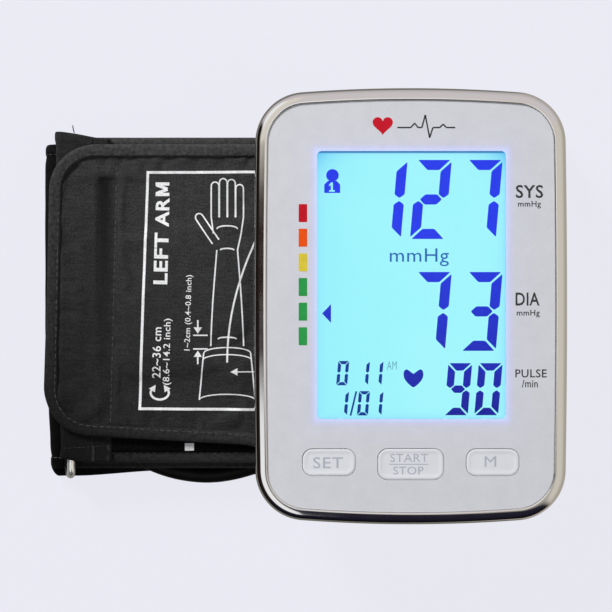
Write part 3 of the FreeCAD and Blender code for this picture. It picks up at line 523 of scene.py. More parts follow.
def painted_crease_shade(look, tone):
    """Painted shade: the tone made deeper along the flap's long crease, most of all at its upper end."""
    x, y, _ = look.add("ShaderNodeSeparateXYZ", [(0, look.whole)]).outputs
    left = look.math("MAXIMUM", look.ranged(x, 0, 1, -0.0885, -0.0848), 0.0)
    right = look.math("MAXIMUM", look.ranged(x, 1, 0, -0.0828, -0.0785), 0.0)
    along = look.math("MAXIMUM", look.ranged(y, 0, 1, -0.045, 0.05), 0.0)
    end = look.math("MAXIMUM", look.ranged(y, 1, 0, 0.0525, 0.0585), 0.0)
    share = look.math("MULTIPLY", look.math("MULTIPLY", left, right), look.math("MULTIPLY", along, end))
    return look.mixed(look.math("MULTIPLY", share, 0.7), tone, grey(5))


def nylon(name="nylon_cloth", level=54, pitch=0.0005, creased=False):
    """Black woven nylon: a fine plain weave with a slight sheen; its tone has painted shade towards the
    cuff's lower left, and along the flap's crease when creased.
    """
    look = Look(name, grey(level), 0.8, "UV", Sheen_Weight=0.04, Sheen_Roughness=0.5, Specular_IOR_Level=0.13)
    look.set("Sheen Tint", grey(120))
    threads = weave(look, pitch, 0.00012, 0.34)
    tone = look.mixed(look.ranged(look.noise(0.004, 5.0), 0, 1, 0.3, 0.7), grey(level - 9), grey(level + 9))
    tone = look.mixed(look.ranged(look.noise(0.0009, 2.0), 0, 1, 0.3, 0.7), tone, grey(level + 14))
    tone = look.mixed(look.ranged(look.noise(0.0006, 1.0), 0, 0.6, 0.45, 0.7), tone, grey(max(level - 24, 4)))
    tone = look.mixed(1.0, tone, threads, "MULTIPLY")
    streaks = look.ranged(look.noise(0.0009, 3.0, (0.16, 1, 1)), 0.84, 1.16, 0.3, 0.7)
    tone = look.mixed(1.0, tone, streaks, "MULTIPLY")
    # Painted shade: the tone deepens towards the cuff's lower left.
    tone = painted_light_falloff(look, tone, 0.6)
    # When creased, painted shade also deepens the tone along the flap's crease.
    look.feed("Base Color", painted_crease_shade(look, tone) if creased else tone)
    look.rough(look.noise(0.003), 0.7, 0.92)
    look.bump(look.noise(0.0012, 3.0), 0.00005)
    return look.material


def tape_cloth(name="edge_tape", level=60):
    """Grosgrain edge tape: fine ribs across its width; its tone has painted shade towards the cuff's lower
    left.
    """
    look = Look(name, grey(level), 0.8, "UV", Sheen_Weight=0.04, Specular_IOR_Level=0.14)
    look.set("Sheen Tint", grey(140))
    threads = weave(look, 0.00046, 0.0001, 0.34)
    patches_share = look.ranged(look.noise(0.0016, 4.0), 0, 1, 0.3, 0.7)
    tone = look.mixed(patches_share, grey(level - 12), grey(level + 16))
    tone = look.mixed(1.0, tone, threads, "MULTIPLY")
    # Painted shade: the tape's tone deepens towards the cuff's lower left.
    look.feed("Base Color", painted_light_falloff(look, tone, 0.75))
    look.rough(look.noise(0.002), 0.7, 0.92)
    return look.material


def thread(name="sewing_thread", level=88):
    look = Look(name, grey(level), 0.7, Specular_IOR_Level=0.25)
    look.shade(look.noise(0.003), grey(level - 45), grey(level + 10))
    look.bump(look.noise(0.0002), 0.00003)
    return look.material


def print_ink():
    """White ink printed on the cloth, which lets a little of the weave through."""
    look = Look("print_ink", grey(236), 0.6, Specular_IOR_Level=0.3)
    look.shade(look.noise(0.0006, 4.0), grey(205), grey(242), 0.25, 0.55)
    look.rough(look.noise(0.001), 0.5, 0.7)
    look.bump(look.noise(0.0005, 2.0), 0.00003)
    return look.material


def loop_pile():
    """The soft half of the closure: matt, fuzzy loops, near black; that black is partly its own and partly
    painted shade where it lies between the layers.
    """
    look = Look("loop_pile", grey(12), 0.95, Sheen_Weight=0.1, Specular_IOR_Level=0.05)
    look.set("Sheen Tint", grey(60))
    look.shade(look.cells(0.0011), grey(5), grey(16), 0.0, 0.8)
    look.bump(look.cells(0.0011), 0.0003)
    look.bump(look.noise(0.0005, 4.0), 0.0001)
    return look.material


def hook_tape():
    """The stiff half of the closure: close rows of small hooks."""
    look = Look("hook_tape", grey(24), 0.5, Specular_IOR_Level=0.5)
    look.shade(look.cells(0.0014), grey(48), grey(14), 0.0, 0.7)
    look.bump(look.cells(0.0014), 0.0005)
    return look.material


# ---------------------------------------------------------------- cuff: flap

FLAP_RIGHT = 16.4
FLAP_HINGE = -23.0
FLAP_TOP = 69.3
FLAP_TOP_RIGHT = 69.0
FLAP_TIP_BOTTOM = -54.6
FLAP_ROOT_BOTTOM = -59.3
FLAP_END_BOTTOM = -70.0
FLAP_LEFT = -108.2
FLAP_LEAN = 1.3
FLAP_CORNER = 20.0
FLAP_LOW, FLAP_HIGH = 20.4, 23.2
TAPE_WIDTH = 5.4
TAPE_CLOTH = 0.6
SEAM_TOP, SEAM_BOTTOM = -78.1, -81.1


def flap_left(y):
    return FLAP_LEFT + FLAP_LEAN * (2 * (y - FLAP_TIP_BOTTOM) / (FLAP_TOP - FLAP_TIP_BOTTOM) - 1)


def flap_bottom(x):
    """The lower edge: it drops a little towards the hinge, and more beyond it."""
    if x > FLAP_HINGE:
        share = (x - FLAP_HINGE) / (FLAP_RIGHT - FLAP_HINGE)
        return FLAP_ROOT_BOTTOM + share * (FLAP_END_BOTTOM - FLAP_ROOT_BOTTOM)
    share = (FLAP_HINGE - x) / (FLAP_HINGE - FLAP_LEFT)
    return FLAP_ROOT_BOTTOM + (FLAP_TIP_BOTTOM - FLAP_ROOT_BOTTOM) * share


def flap_top(x):
    share = min(max((x - FLAP_HINGE) / (FLAP_RIGHT - FLAP_HINGE), 0.0), 1.0)
    return FLAP_TOP + share * (FLAP_TOP_RIGHT - FLAP_TOP)


def flap_outline(inset=0.0):
    """The flap's edge from its right end along the top, round the tip and back along the bottom."""
    radius = FLAP_CORNER - inset
    left_high = flap_left(FLAP_TOP - FLAP_CORNER) + inset
    left_low = flap_left(FLAP_TIP_BOTTOM + FLAP_CORNER) + inset
    points = []
    for step in range(61):
        x = FLAP_RIGHT + (left_high + radius - FLAP_RIGHT) * step / 60
        points.append((x, flap_top(x) - inset))
    high_centre = (left_high + radius, flap_top(left_high + radius) - inset - radius)
    low_x = left_low + radius
    low_centre = (low_x, flap_bottom(low_x) + inset + radius)
    for step in range(1, 17):
        angle = math.pi / 2 * (1 + step / 16)
        points.append((high_centre[0] + radius * math.cos(angle), high_centre[1] + radius * math.sin(angle)))
    for step in range(1, 40):
        share = step / 40
        y = high_centre[1] + (low_centre[1] - high_centre[1]) * share
        points.append((left_high + (left_low - left_high) * share, y))
    for step in range(17):
        angle = math.pi * (1 + step / 32)
        points.append((low_centre[0] + radius * math.cos(angle), low_centre[1] + radius * math.sin(angle)))
    for step in range(1, 61):
        x = low_x + (FLAP_RIGHT - low_x) * step / 60
        points.append((x, flap_bottom(x) + inset))
    return points


def flap_grid():
    """Points over the flap's whole area, as columns from its right end to its tip."""
    radius = FLAP_CORNER
    columns = []
    straight = 74
    for step in range(straight):
        columns.append((step / straight, 0.0))
    for step in range(17):
        columns.append((1.0, math.pi / 2 * step / 16))
    rows = 92
    grid = []
    for share, angle in columns:
        column = []
        for row in range(rows + 1):
            up = row / rows
            depth = radius * (1 - math.sin(angle))
            y_guess = FLAP_TIP_BOTTOM + up * (FLAP_TOP - FLAP_TIP_BOTTOM)
            left = flap_left(y_guess)
            corner_x = left + radius
            x = FLAP_RIGHT + (corner_x - FLAP_RIGHT) * share if share < 1 else left + depth
            inset = radius * (1 - math.cos(angle)) if share == 1 else 0.0
            bottom, top = flap_bottom(x) + inset, flap_top(x) - inset
            column.append((x, bottom + (top - bottom) * up))
        grid.append(column)
    return grid


def seam_x(y):
    """The line of stitching across the flap."""
    return SEAM_BOTTOM + (SEAM_TOP - SEAM_BOTTOM) * (y - FLAP_TIP_BOTTOM) / (FLAP_TOP - FLAP_TIP_BOTTOM)


def flap_cloth(material):
    """The padded flap and its root, blown up by the cloth simulation between its edge and its seam."""
    grid = flap_grid()
    outline = np.array(flap_outline())
    flat = np.array([spot for column in grid for spot in column])
    gaps = np.min(np.linalg.norm(flat[:, None, :] - outline[None, :, :], axis=2), axis=1)
    gaps = gaps.reshape(len(grid), len(grid[0]))
    top_level, low_level = FLAP_HIGH - 0.75, FLAP_LOW + 0.45
    columns = []
    for i, column in enumerate(grid):
        columns.append([])
        for j, (x, y) in enumerate(column):
            crown = 0.9 * eased(gaps[i, j], 4.0, 15.0) - 0.25
            dent = 0.55 * math.exp(-(((x - seam_x(y)) / 1.6) ** 2)) if x < FLAP_HINGE else 0.0
            columns[-1].append(((x, y, top_level + crown - dent), (x, y, low_level), (x * MM, y * MM)))
    thing = closed_sheet("flap_cloth", columns, material)
    rest = points_of(thing.data)
    edge = np.concatenate([gaps.ravel(), gaps.ravel()])
    seam = np.abs(rest[:, 0] - seam_x(rest[:, 1])) < 0.9
    held = (edge < TAPE_WIDTH - 0.4) | seam | (rest[:, 0] > FLAP_HINGE + 2)
    moved = simulate(thing, held, growth=0.03, pressure=3.0)
    rise = 1.5 * np.tanh((moved - rest) / 1.5)
    set_points(thing.data, rest + rise)
    subdivide(thing)
    crease_flap(thing, outline, low_level)
    return thing


def crease_flap(thing, outline, low_level):
    """Adds the long crease beside the seam, the small puckers along the tape and soft unevenness."""
    rest = points_of(thing.data)
    x, y = rest[:, 0], rest[:, 1]
    edge = np.concatenate([
        np.min(np.linalg.norm(some[:, None, :2] - outline[None, ::2, :], axis=2), axis=1)
        for some in np.array_split(rest, 40)
    ])
    across = x + 85.2 + 0.6 * np.sin(y / 17)
    fade = eased(-y, -56.0, -52.5) * (0.35 * eased(y, -54, -40) + 0.65 * eased(y, -30, 22))
    crease = 2.4 * eased(across, -1.5, 1.5) * (1 - eased(across, 2.5, 11.0)) * fade
    puckers = np.array([
        rough_at((px, 0, 3), 3.4, 2.0) * 0.75 + rough_at((px, py, 0), 9.0, 5.0)
        for px, py in rest[:, :2]
    ])
    pucker_reach = np.exp(-np.maximum(edge - TAPE_WIDTH, 0) / 6.0)
    pucker_reach = pucker_reach * eased(edge, TAPE_WIDTH - 1, TAPE_WIDTH + 2)
    soft = np.array([rough_at((px, py, 0), 26.0, 8.0) for px, py in rest[:, :2]]) * eased(edge, 5, 14)
    relief = -crease + 1.2 * puckers * pucker_reach + 1.0 * soft
    upper = eased(rest[:, 2], low_level + 0.25, low_level + 0.8) * (x < FLAP_HINGE)
    creased = np.maximum(rest[:, 2] + relief * upper, low_level + 0.35)
    rest[:, 2] = np.where(upper > 0.5, creased, rest[:, 2])
    set_points(thing.data, rest)


# ---------------------------------------------------------------- cuff: tapes and stitches


def along(points, step):
    """Even steps along a line of points: (point, direction, distance) for each."""
    points = [Vector(p) for p in points]
    marks = [0.0]
    for a, b in zip(points, points[1:]):
        marks.append(marks[-1] + (b - a).length)
    count = max(2, round(marks[-1] / step))
    found, piece = [], 0
    for number in range(count + 1):
        distance = marks[-1] * number / count
        while piece < len(points) - 2 and marks[piece + 1] < distance:
            piece += 1
        a, b = points[piece], points[piece + 1]
        share = (distance - marks[piece]) / max((b - a).length, 1e-9)
        found.append((a + (b - a) * share, (b - a).normalized(), distance))
    return found


def wrap_tape(name, stations, material, width=TAPE_WIDTH, half=0.95):
    """Tape folded round a cloth's edge. A station is the edge's middle, way in, way up and distance."""
    profile = [(width, half + 0.05), (width - 0.25, half + TAPE_CLOTH)]
    profile += [(width * 0.55, half + TAPE_CLOTH + 0.12)]
    profile += [(1.0, half + TAPE_CLOTH), (0.2, half * 0.75), (-0.05, 0.0)]
    profile += [(i, -n) for i, n in reversed(profile[:-1])]
    profile += [(width - 0.3, -half + 0.15), (1.2, -half + 0.2)]
    profile += [(1.2, half - 0.2), (width - 0.3, half - 0.15)]
    points, uv = [], []
    for middle, inward, up, distance in stations:
        pull = math.sin(TAU * distance / 2.9) * 0.07 + rough_at((distance, 0, 0), 4.0, width) * 0.16
        wander = rough_at((distance, 5, 0), 15.0, 3.0) * 0.25
        for k, (i, n) in enumerate(profile):
            near_seam = 1.0 if i > width * 0.4 else 0.4
            shift = pull * near_seam * (1 if n > 0 else -1) if k < 11 else 0.0
            place = middle + inward * (i + (wander if i > 1 else wander * 0.3)) + up * (n + shift)
            points.append(tuple(place))
            uv.append((distance * MM, (i + (width if n < 0 else 0)) * MM))
    return link(name, points, skin(len(stations), len(profile)), material, uv=uv)


def stitches(name, runs, material, length=2.0, gap=0.9, radius=0.17):
    """Short raised threads, one after another, along each run of (point, up) pairs."""
    points, faces = [], []
    rings = ((-0.5, 0.15), (-0.42, 0.8), (-0.2, 1.0), (0.2, 1.0), (0.42, 0.8), (0.5, 0.15))
    for run_number, run in enumerate(runs):
        line = [Vector(p) for p, _ in run]
        ups = [Vector(u) for _, u in run]
        walk = along(line, length + gap)
        for number, (step, following) in enumerate(zip(walk, walk[1:])):
            centre, after = step[0], following[0]
            nearest = min(range(len(line)), key=lambda k: (line[k] - centre).length_squared)
            up = ups[nearest]
            direction = (after - centre).normalized()
            side = direction.cross(up).normalized()
            wobble = rough_at((number, run_number, 0), 0.7, 4.0)
            middle = (centre + after) / 2 + side * wobble * 0.16
            direction = (direction + side * wobble * 0.12).normalized()
            first = len(points)
            for share, size in rings:
                for k in range(6):
                    angle = TAU * k / 6
                    offset = side * math.cos(angle) * radius * size + up * math.sin(angle) * radius * size
                    sink = up * (0.1 * radius - abs(share) ** 3 * 2.4 * radius)
                    points.append(tuple(middle + direction * share * length + offset + sink))
            faces += skin(len(rings), 6, first)
    return link(name, points, faces, material)


def flap_edge(inset, z, step):
    """Stations round the flap's edge."""
    outline = [(x, y, z) for x, y in flap_outline(inset)]
    found = []
    for place, direction, distance in along(outline, step):
        inward = Vector((-direction.y, direction.x, 0))
        found.append((place, inward, Vector((0, 0, 1)), distance))
    return found


def to_flap(*things):
    """Bakes the transforms of pieces that lie on the flap into their points."""
    for thing in things:
        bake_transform(thing)


def flap_pieces(cloth, tape, sewing):
    flap = flap_cloth(cloth)
    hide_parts("flap", "flap_root")
    middle = (FLAP_LOW + FLAP_HIGH) / 2
    binding = wrap_tape("flap_tape", flap_edge(0.0, middle, 0.7), tape, half=0.9)
    subdivide(binding)
    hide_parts("flap_binding")
    top = Surface(flap, binding)
    runs = []
    edge_line = [(p.x, p.y) for p, _, _, _ in flap_edge(TAPE_WIDTH - 1.0, 0.0, 1.0)]
    runs.append([(top.drape(x, y, 0.06), (0, 0, 1)) for x, y in edge_line])
    seam = np.linspace(FLAP_TOP - TAPE_WIDTH - 0.5, flap_bottom(SEAM_BOTTOM) + TAPE_WIDTH + 0.5, 120)
    runs.append([(top.drape(seam_x(y), y, 0.04), (0, 0, 1)) for y in seam])
    sewn = stitches("flap_stitches", runs, sewing)
    to_flap(flap, binding, sewn)
    return top


# ---------------------------------------------------------------- cuff: folded layers

STRAP_HALF = 70.0
STRAP_THICK, BAND_THICK = 2.9, 3.8
BAND_SHIFT = 2.5
FLOOR_GAP = 0.06


def arc(centre, radius, start, end, count=18):
    """Points of an arc in the (x, z) plane."""
    angles = np.radians(np.linspace(start, end, count))
    return [(centre[0] + radius * math.cos(a), centre[1] + radius * math.sin(a)) for a in angles]


def straight(a, b, step=2.0):
    count = max(1, round(math.dist(a, b) / step))
    return [(a[0] + (b[0] - a[0]) * k / count, a[1] + (b[1] - a[1]) * k / count) for k in range(1, count)]


def strap_path():
    """From the flap's root, round the right fold, along the floor and round the left fold."""
    right = arc((16.4, 11.6), 10.15, 90, -90)
    left = arc((-104.0, 6.75), 5.25, -90, -270)
    return right + straight(right[-1], left[0]) + left


def band_path():
    """From the left fold along the lower band, round the right fold and back along the upper band."""
    start, end = (-104.0, 12.0), (-94.5, 17.0)
    turn = arc((18.0, 14.5), 2.5, -90, 90, 12)
    return [start, *straight(start, turn[0]), *turn, *straight(turn[-1], end), end]


def path_frames(path):
    """(point, side direction, distance) along a path in the (x, z) plane."""
    found, distance = [], 0.0
    for k, (x, z) in enumerate(path):
        before, after = path[max(k - 1, 0)], path[min(k + 1, len(path) - 1)]
        way = Vector((after[0] - before[0], 0, after[1] - before[1])).normalized()
        if k:
            distance += math.dist(path[k - 1], path[k])
        found.append((Vector((x, 0, z)), Vector((-way.z, 0, way.x)), distance))
    return found


def strap_edges(x, distance):
    """The strap widens a little towards its left fold, and narrows again above it, clear of the ring."""
    below = 1 - eased(distance, 156.0, 162.0)
    low = STRAP_HALF + (1.8 * eased(-x, -10.0, 20.0) + 2.3 * eased(-x, 58.0, 100.0)) * below
    return -low, STRAP_HALF + 0.6 * eased(-x, 80.0, 100.0) * below


def band_edges(x, distance):
    """The upper band lies a little further up than the lower one."""
    shift = BAND_SHIFT * eased(distance, 116.0, 132.0)
    return -STRAP_HALF + shift, STRAP_HALF + shift


def settled(x, y):
    """How far the left folds lean in towards the cuff's lower end."""
    return 2.3 * eased(-x, 80.0, 104.0) * eased(-y, 5.0, 68.0)


def layer(name, path, edges, thick, material, puff, seed):
    """A padded strip along a path: thin at its taped edges, full between them, and never below the floor."""
    frames = path_frames(path)
    shares = [0.0, 0.008, 0.02, 0.035, *np.linspace(0.055, 0.945, 60), 0.965, 0.98, 0.992, 1.0]
    columns = []
    for point, side, distance in frames:
        low, high = edges(point.x, distance)
        columns.append([])
        for share in shares:
            y = low + (high - low) * share
            gap = min(y - low, high - y)
            full = 0.42 + 0.58 * eased(gap, 3.2, 9.0)
            ripple = rough_at((distance, y, seed), 11.0, seed) * puff * eased(gap, 4.0, 10.0)
            ripple += rough_at((distance, y * 0.5, 3), 4.0, seed) * 0.2 * math.exp(-max(gap - 5, 0) / 5)
            half = thick / 2 * full
            place = point + Vector((settled(point.x, y), y, 0))
            spots = [place + side * offset for offset in (half + ripple * 0.5, -half - ripple * 0.3)]
            upper, lower = [(spot.x, spot.y, max(spot.z, FLOOR_GAP)) for spot in spots]
            columns[-1].append((upper, lower, (distance * MM, y * MM)))
    return closed_sheet(name, columns, material)


def edge_stations(path, edges, high, step=1.0):
    """Stations along one long edge of a strip."""
    frames = path_frames(path)
    line = []
    for point, side, distance in frames:
        y = edges(point.x, distance)[1 if high else 0]
        line.append((Vector((point.x + settled(point.x, y), y, point.z)), side))
    stations = []
    places = [p for p, _ in line]
    for place, _, distance in along(places, step):
        nearest = min(range(len(places)), key=lambda k: (places[k] - place).length_squared)
        stations.append((place, Vector((0, -1 if high else 1, 0)), line[nearest][1], distance))
    return stations


def edge_pieces(name, path, edges, tape, sewing, half, slot_node):
    """The two taped edges of a strip with their stitching."""
    tapes = []
    for high in (False, True):
        stations = edge_stations(path, edges, high)
        tapes.append(wrap_tape(f"{name}_tape_{'top' if high else 'bottom'}", stations, tape, half=half))
    joined = join(f"{name}_tape", tapes)
    subdivide(joined)
    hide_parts(slot_node)
    runs = []
    for high in (False, True):
        for face in (1, -1):
            run = []
            for place, inward, up, _ in edge_stations(path, edges, high):
                lifted = place + inward * (TAPE_WIDTH - 0.9) + up * face * (half + TAPE_CLOTH + 0.08)
                run.append((tuple(lifted), tuple(up * face)))
            runs.append(run)
    sewn = stitches(f"{name}_stitches", runs, sewing)
    for thing in (joined, sewn):
        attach(thing, "cuff")


def join(name, things):
    """One object from several, with all their points and materials."""
    made = bmesh.new()
    for thing in things:
        made.from_mesh(thing.data)
    mesh = bpy.data.meshes.new(name)
    made.to_mesh(mesh)
    made.free()
    for material in things[0].data.materials:
        mesh.materials.append(material)
    for thing in things:
        bpy.data.objects.remove(thing)
    joined = bpy.data.objects.new(name, mesh)
    bpy.context.scene.collection.objects.link(joined)
    mesh.polygons.foreach_set("use_smooth", [True] * len(mesh.polygons))
    return joined


def layers(cloth, tape, sewing):
    # Painted shade: the strap and its tape are darker copies of the cuff's cloth and tape, standing for the
    # shade on the left folds.
    shaded = nylon("strap_nylon_painted_shade", 11), tape_cloth("strap_edge_tape_painted_shade", 15)
    strap = layer("strap_cloth", strap_path(), strap_edges, STRAP_THICK, shaded[0], 0.3, 21.0)
    subdivide(strap)
    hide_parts("flap_fold", "strap", "strap_fold")
    edge_pieces("strap", strap_path(), strap_edges, shaded[1], sewing, 0.62, "strap_binding")
    band = layer("band_cloth", band_path(), band_edges, BAND_THICK, cloth, 0.7, 5.0)
    subdivide(band)
    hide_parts("lower_band", "arm_fold", "upper_band")
    edge_pieces("band", band_path(), band_edges, tape, sewing, 0.85, "band_binding")
    for thing in (strap, band):
        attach(thing, "cuff")
    return band


# ---------------------------------------------------------------- cuff: ring sleeve and closure patches

SLEEVE_BOTTOM, SLEEVE_TOP_LEFT, SLEEVE_TOP_RIGHT = -66.8, 75.0, 71.9
SLEEVE_CLOTH = 0.5
TACKS = ((-89.4, 67.0, 72.4), (-82.0, 67.0, 71.4), (-88.4, -66.2, -60.5), (-82.0, -66.2, -59.0))


def sleeve_path():
    """From under the upper band, round the ring's bar and back over the band."""
    turn = arc((-102.2, 17.0), 2.45, 270, 90, 12)
    start, end = (-83.0, 14.6), (-80.6, 19.75)
    lift = [(-96.0, 19.9), (-92.0, 19.95)]
    return [start, *straight(start, turn[0], 1.5), *turn, *lift, *straight(lift[-1], end, 1.5), end]


def ring_sleeve(cloth, sewing):
    frames = path_frames(sleeve_path())
    count = 74
    columns = []
    for point, side, distance in frames:
        top = SLEEVE_TOP_LEFT + (SLEEVE_TOP_RIGHT - SLEEVE_TOP_LEFT) * eased(point.x, -104.0, -82.0)
        bottom = SLEEVE_BOTTOM + 1.2 * eased(-point.x, 96, 104)
        columns.append([])
        for k in range(count + 1):
            y = bottom + (top - bottom) * k / count
            near_end = math.exp(-min(y - bottom, top - y) / 3.0)
            ripple = rough_at((distance, y, 2), 5.0, 9.0) * (0.22 + 0.3 * near_end)
            centre = point + Vector((settled(point.x, y), y, 0)) + side * ripple
            hem = 1.0 + 2.0 * eased(y - top, -4.6, -4.2) + 1.2 * eased(bottom - y, -3.4, -3.0)
            upper, lower = centre + side * SLEEVE_CLOTH / 2 * hem, centre - side * SLEEVE_CLOTH / 2
            columns[-1].append((tuple(upper), tuple(lower), (distance * MM, y * MM)))
    thing = closed_sheet("sleeve_cloth", columns, cloth)
    subdivide(thing)
    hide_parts("ring_sleeve")
    top = Surface(thing)
    runs = []
    for x in (-89.0, -82.4, -81.6):
        rows = np.arange(SLEEVE_BOTTOM + 0.8, 71.5, 1.0)
        runs.append([(top.drape(x + 0.2 * math.sin(y), y, 0.05), (0, 0, 1)) for y in rows])
    for y, fall in ((SLEEVE_BOTTOM + 6.0, -0.8), (70.6, 1.6)):
        line = [(x, y - fall * eased(x, -101.0, -84.0)) for x in np.arange(-101.5, -81.4, 1.0)]
        runs.append([(top.drape(x, spot, 0.05), (0, 0, 1)) for x, spot in line])
    sewn = stitches("sleeve_stitches", runs, sewing, length=1.5, gap=0.6)
    tacks = stitches("sleeve_tacks", tack_runs(top), sewing, length=1.1, gap=0.05, radius=0.26)
    loose_end = [((-96.8, 74.7, 20.3), (0, 0, 1)), ((-97.4, 77.0, 20.4), (0, 0, 1))]
    stray = stitches("sleeve_loose_thread", [loose_end], sewing, length=2.3, gap=0.05, radius=0.22)
    for piece in (thing, sewn, tacks, stray):
        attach(piece, "cuff")


def tack_runs(top):
    """Close zigzag stitching that ties the sleeve down at its two ends."""
    runs = []
    for x, y_from, y_to in TACKS:
        count = round((y_to - y_from) / 0.45)
        line = []
        for k in range(count + 1):
            y = y_from + (y_to - y_from) * k / count
            line.append((top.drape(x + (0.8 if k % 2 else -0.8), y, 0.14), (0, 0, 1)))
        runs.append(line)
    return runs


def patch(name, left, right, bottom, top, level, thick, material, node):
    """A closure patch: a thin sheet with softly rounded corners and an uneven, napped upper side."""
    corner, across, down = 3.0, 44, 72
    columns = []
    for i in range(across + 1):
        columns.append([])
        x = left + (right - left) * i / across
        gap = min(x - left, right - x)
        inset = corner - math.sqrt(max(corner**2 - max(corner - gap, 0) ** 2, 0))
        for j in range(down + 1):
            y = bottom + inset + (top - bottom - 2 * inset) * j / down
            edge = min(gap, y - bottom, top - y)
            nap = rough_at((x, y, level), 2.2, 6.0) * 0.1 + rough_at((x, y, level), 12.0, 1.0) * 0.12
            height = thick * (0.35 + 0.65 * eased(edge, 0.0, 1.2)) + nap
            columns[-1].append(((x, y, level + max(height, 0.1)), (x, y, level), (x * MM, y * MM)))
    thing = closed_sheet(name, columns, material)
    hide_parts(node)
    return thing


def patches():
    pile = patch("pile_cloth", -82.0, -8.0, -62.5, 67.5, 19.0, 0.6, loop_pile(), "pile_patch")
    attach(pile, "cuff")
    hooks = patch("hook_cloth", -98.2, -60.2, -40.0, 56.0, 19.85, 0.5, hook_tape(), "hook_patch")
    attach(hooks, "cuff_flap")
    return pile


# ---------------------------------------------------------------- printed label on the flap

INK_LIFT = 0.07
FRAME_WIDTH = 1.15
LABEL_TOP_LEFT, LABEL_BOTTOM_LEFT = (-65.0, 57.2), (-68.4, -43.8)
LABEL_TOP_RIGHT, LABEL_BOTTOM_RIGHT = (-6.0, 57.4), (-6.0, -44.2)
ARM_MIDDLE, ARM_FOOT, WRIST, KNUCKLES = -31.0, -42.0, 24.0, 38.0
BAND_HIGH, BAND_LOW = -20.0, -40.0
GAP_MIDDLE, GAP_HIGH, GAP_LOW = -43.5, -12.4, -18.2
LABEL_TURN = math.atan2(LABEL_TOP_LEFT[0] - LABEL_BOTTOM_LEFT[0], LABEL_TOP_LEFT[1] - LABEL_BOTTOM_LEFT[1])


def ribbon(line, width, top, lift=INK_LIFT):
    """Points and faces of a printed line that lies on the cloth."""
    walk = along([(*p, 0) for p in line], 0.7)
    points, faces = [], []
    for k, (place, _, _) in enumerate(walk):
        before, after = walk[max(k - 1, 0)][0], walk[min(k + 1, len(walk) - 1)][0]
        way = (after - before).normalized()
        side = Vector((-way.y, way.x, 0)) * width / 2
        for spot in (place - side, place, place + side):
            points.append(top.drape(spot.x, spot.y, lift))
    for k in range(len(walk) - 1):
        a = 3 * k
        faces += [(a, a + 1, a + 4, a + 3), (a + 1, a + 2, a + 5, a + 4)]
    return points, faces


def letters(text, place, width, height, turn, weight=0.0, cut=1.6):
    """Flat triangles of a text that fills width by height from its lower left corner, turned by degrees."""
    data = bpy.data.curves.new("letters", "FONT")
    data.body, data.offset = text, weight * 0.1
    data.resolution_u = 3
    data.space_character = 1.06
    thing = bpy.data.objects.new("letters", data)
    bpy.context.scene.collection.objects.link(thing)
    bpy.context.view_layer.update()
    mesh = bpy.data.meshes.new_from_object(thing.evaluated_get(bpy.context.evaluated_depsgraph_get()))
    bpy.data.objects.remove(thing)
    made = bmesh.new()
    made.from_mesh(mesh)
    corners = np.array([v.co for v in made.verts])
    low, high = corners.min(0), corners.max(0)
    scale = width / (high[0] - low[0]), height / (high[1] - low[1])
    for vertex in made.verts:
        vertex.co.x = (vertex.co.x - low[0]) * scale[0]
        vertex.co.y = (vertex.co.y - low[1]) * scale[1]
    bmesh.ops.remove_doubles(made, verts=made.verts, dist=0.0001)
    bmesh.ops.triangulate(made, faces=made.faces)
    for _ in range(3 if cut else 0):
        long_edges = [e for e in made.edges if e.calc_length() > cut]
        bmesh.ops.subdivide_edges(made, edges=long_edges, cuts=1)
        bmesh.ops.triangulate(made, faces=made.faces)
    turned = Matrix.Rotation(math.radians(turn), 4, "Z")
    points = []
    for vertex in made.verts:
        spot = turned @ Vector((vertex.co.x, vertex.co.y, 0))
        points.append((spot.x + place[0], spot.y + place[1]))
    made.verts.index_update()
    faces = [tuple(v.index for v in f.verts) for f in made.faces]
    made.free()
    return points, faces


def merged(parts):
    """One list of points and faces from several."""
    points, faces = [], []
    for some_points, some_faces in parts:
        first = len(points)
        points += some_points
        faces += [tuple(first + k for k in face) for face in some_faces]
    return points, faces


def arrow_head(top, first, second, third, steps=6):
    """A filled triangle that lies on the cloth."""
    points, faces, rows = [], [], []
    for i in range(steps + 1):
        rows.append([])
        for j in range(steps + 1 - i):
            spot = first + (second - first) * i / steps + (third - first) * j / steps
            rows[-1].append(len(points))
            points.append(top.drape(spot.x, spot.y, INK_LIFT))
    for i in range(steps):
        for j in range(steps - i):
            faces.append((rows[i][j], rows[i + 1][j], rows[i][j + 1]))
            if j + 1 < len(rows[i + 1]):
                faces.append((rows[i + 1][j], rows[i + 1][j + 1], rows[i][j + 1]))
    return points, faces


def draped_letters(top, *args):
    points, faces = letters(*args)
    return [top.drape(x, y, INK_LIFT) for x, y in points], faces


def bowed(half, level, rise):
    """A flat arc across the drawn arm, half its width to each side."""
    angles = np.linspace(math.pi, 0, 13)
    return [(ARM_MIDDLE + half * math.cos(a), level + rise * math.sin(a)) for a in angles]


def finger(base, tip, half=1.65):
    """The outline of a plain round-ended finger, open at its base."""
    base, tip = Vector(base), Vector(tip)
    way = (tip - base).normalized()
    side = Vector((-way.y, way.x))
    end = [tip + (side * math.cos(a) + way * math.sin(a)) * half for a in np.linspace(0, math.pi, 9)]
    return [tuple(spot) for spot in (base + side * half, *end, base - side * half)]


def arm_half(y):
    """Half the drawn arm's width, from the upper arm to the wrist."""
    share = (y - ARM_FOOT) / (WRIST - ARM_FOOT)
    return 7.4 - 3.0 * share + 0.8 * math.sin(math.pi * share)


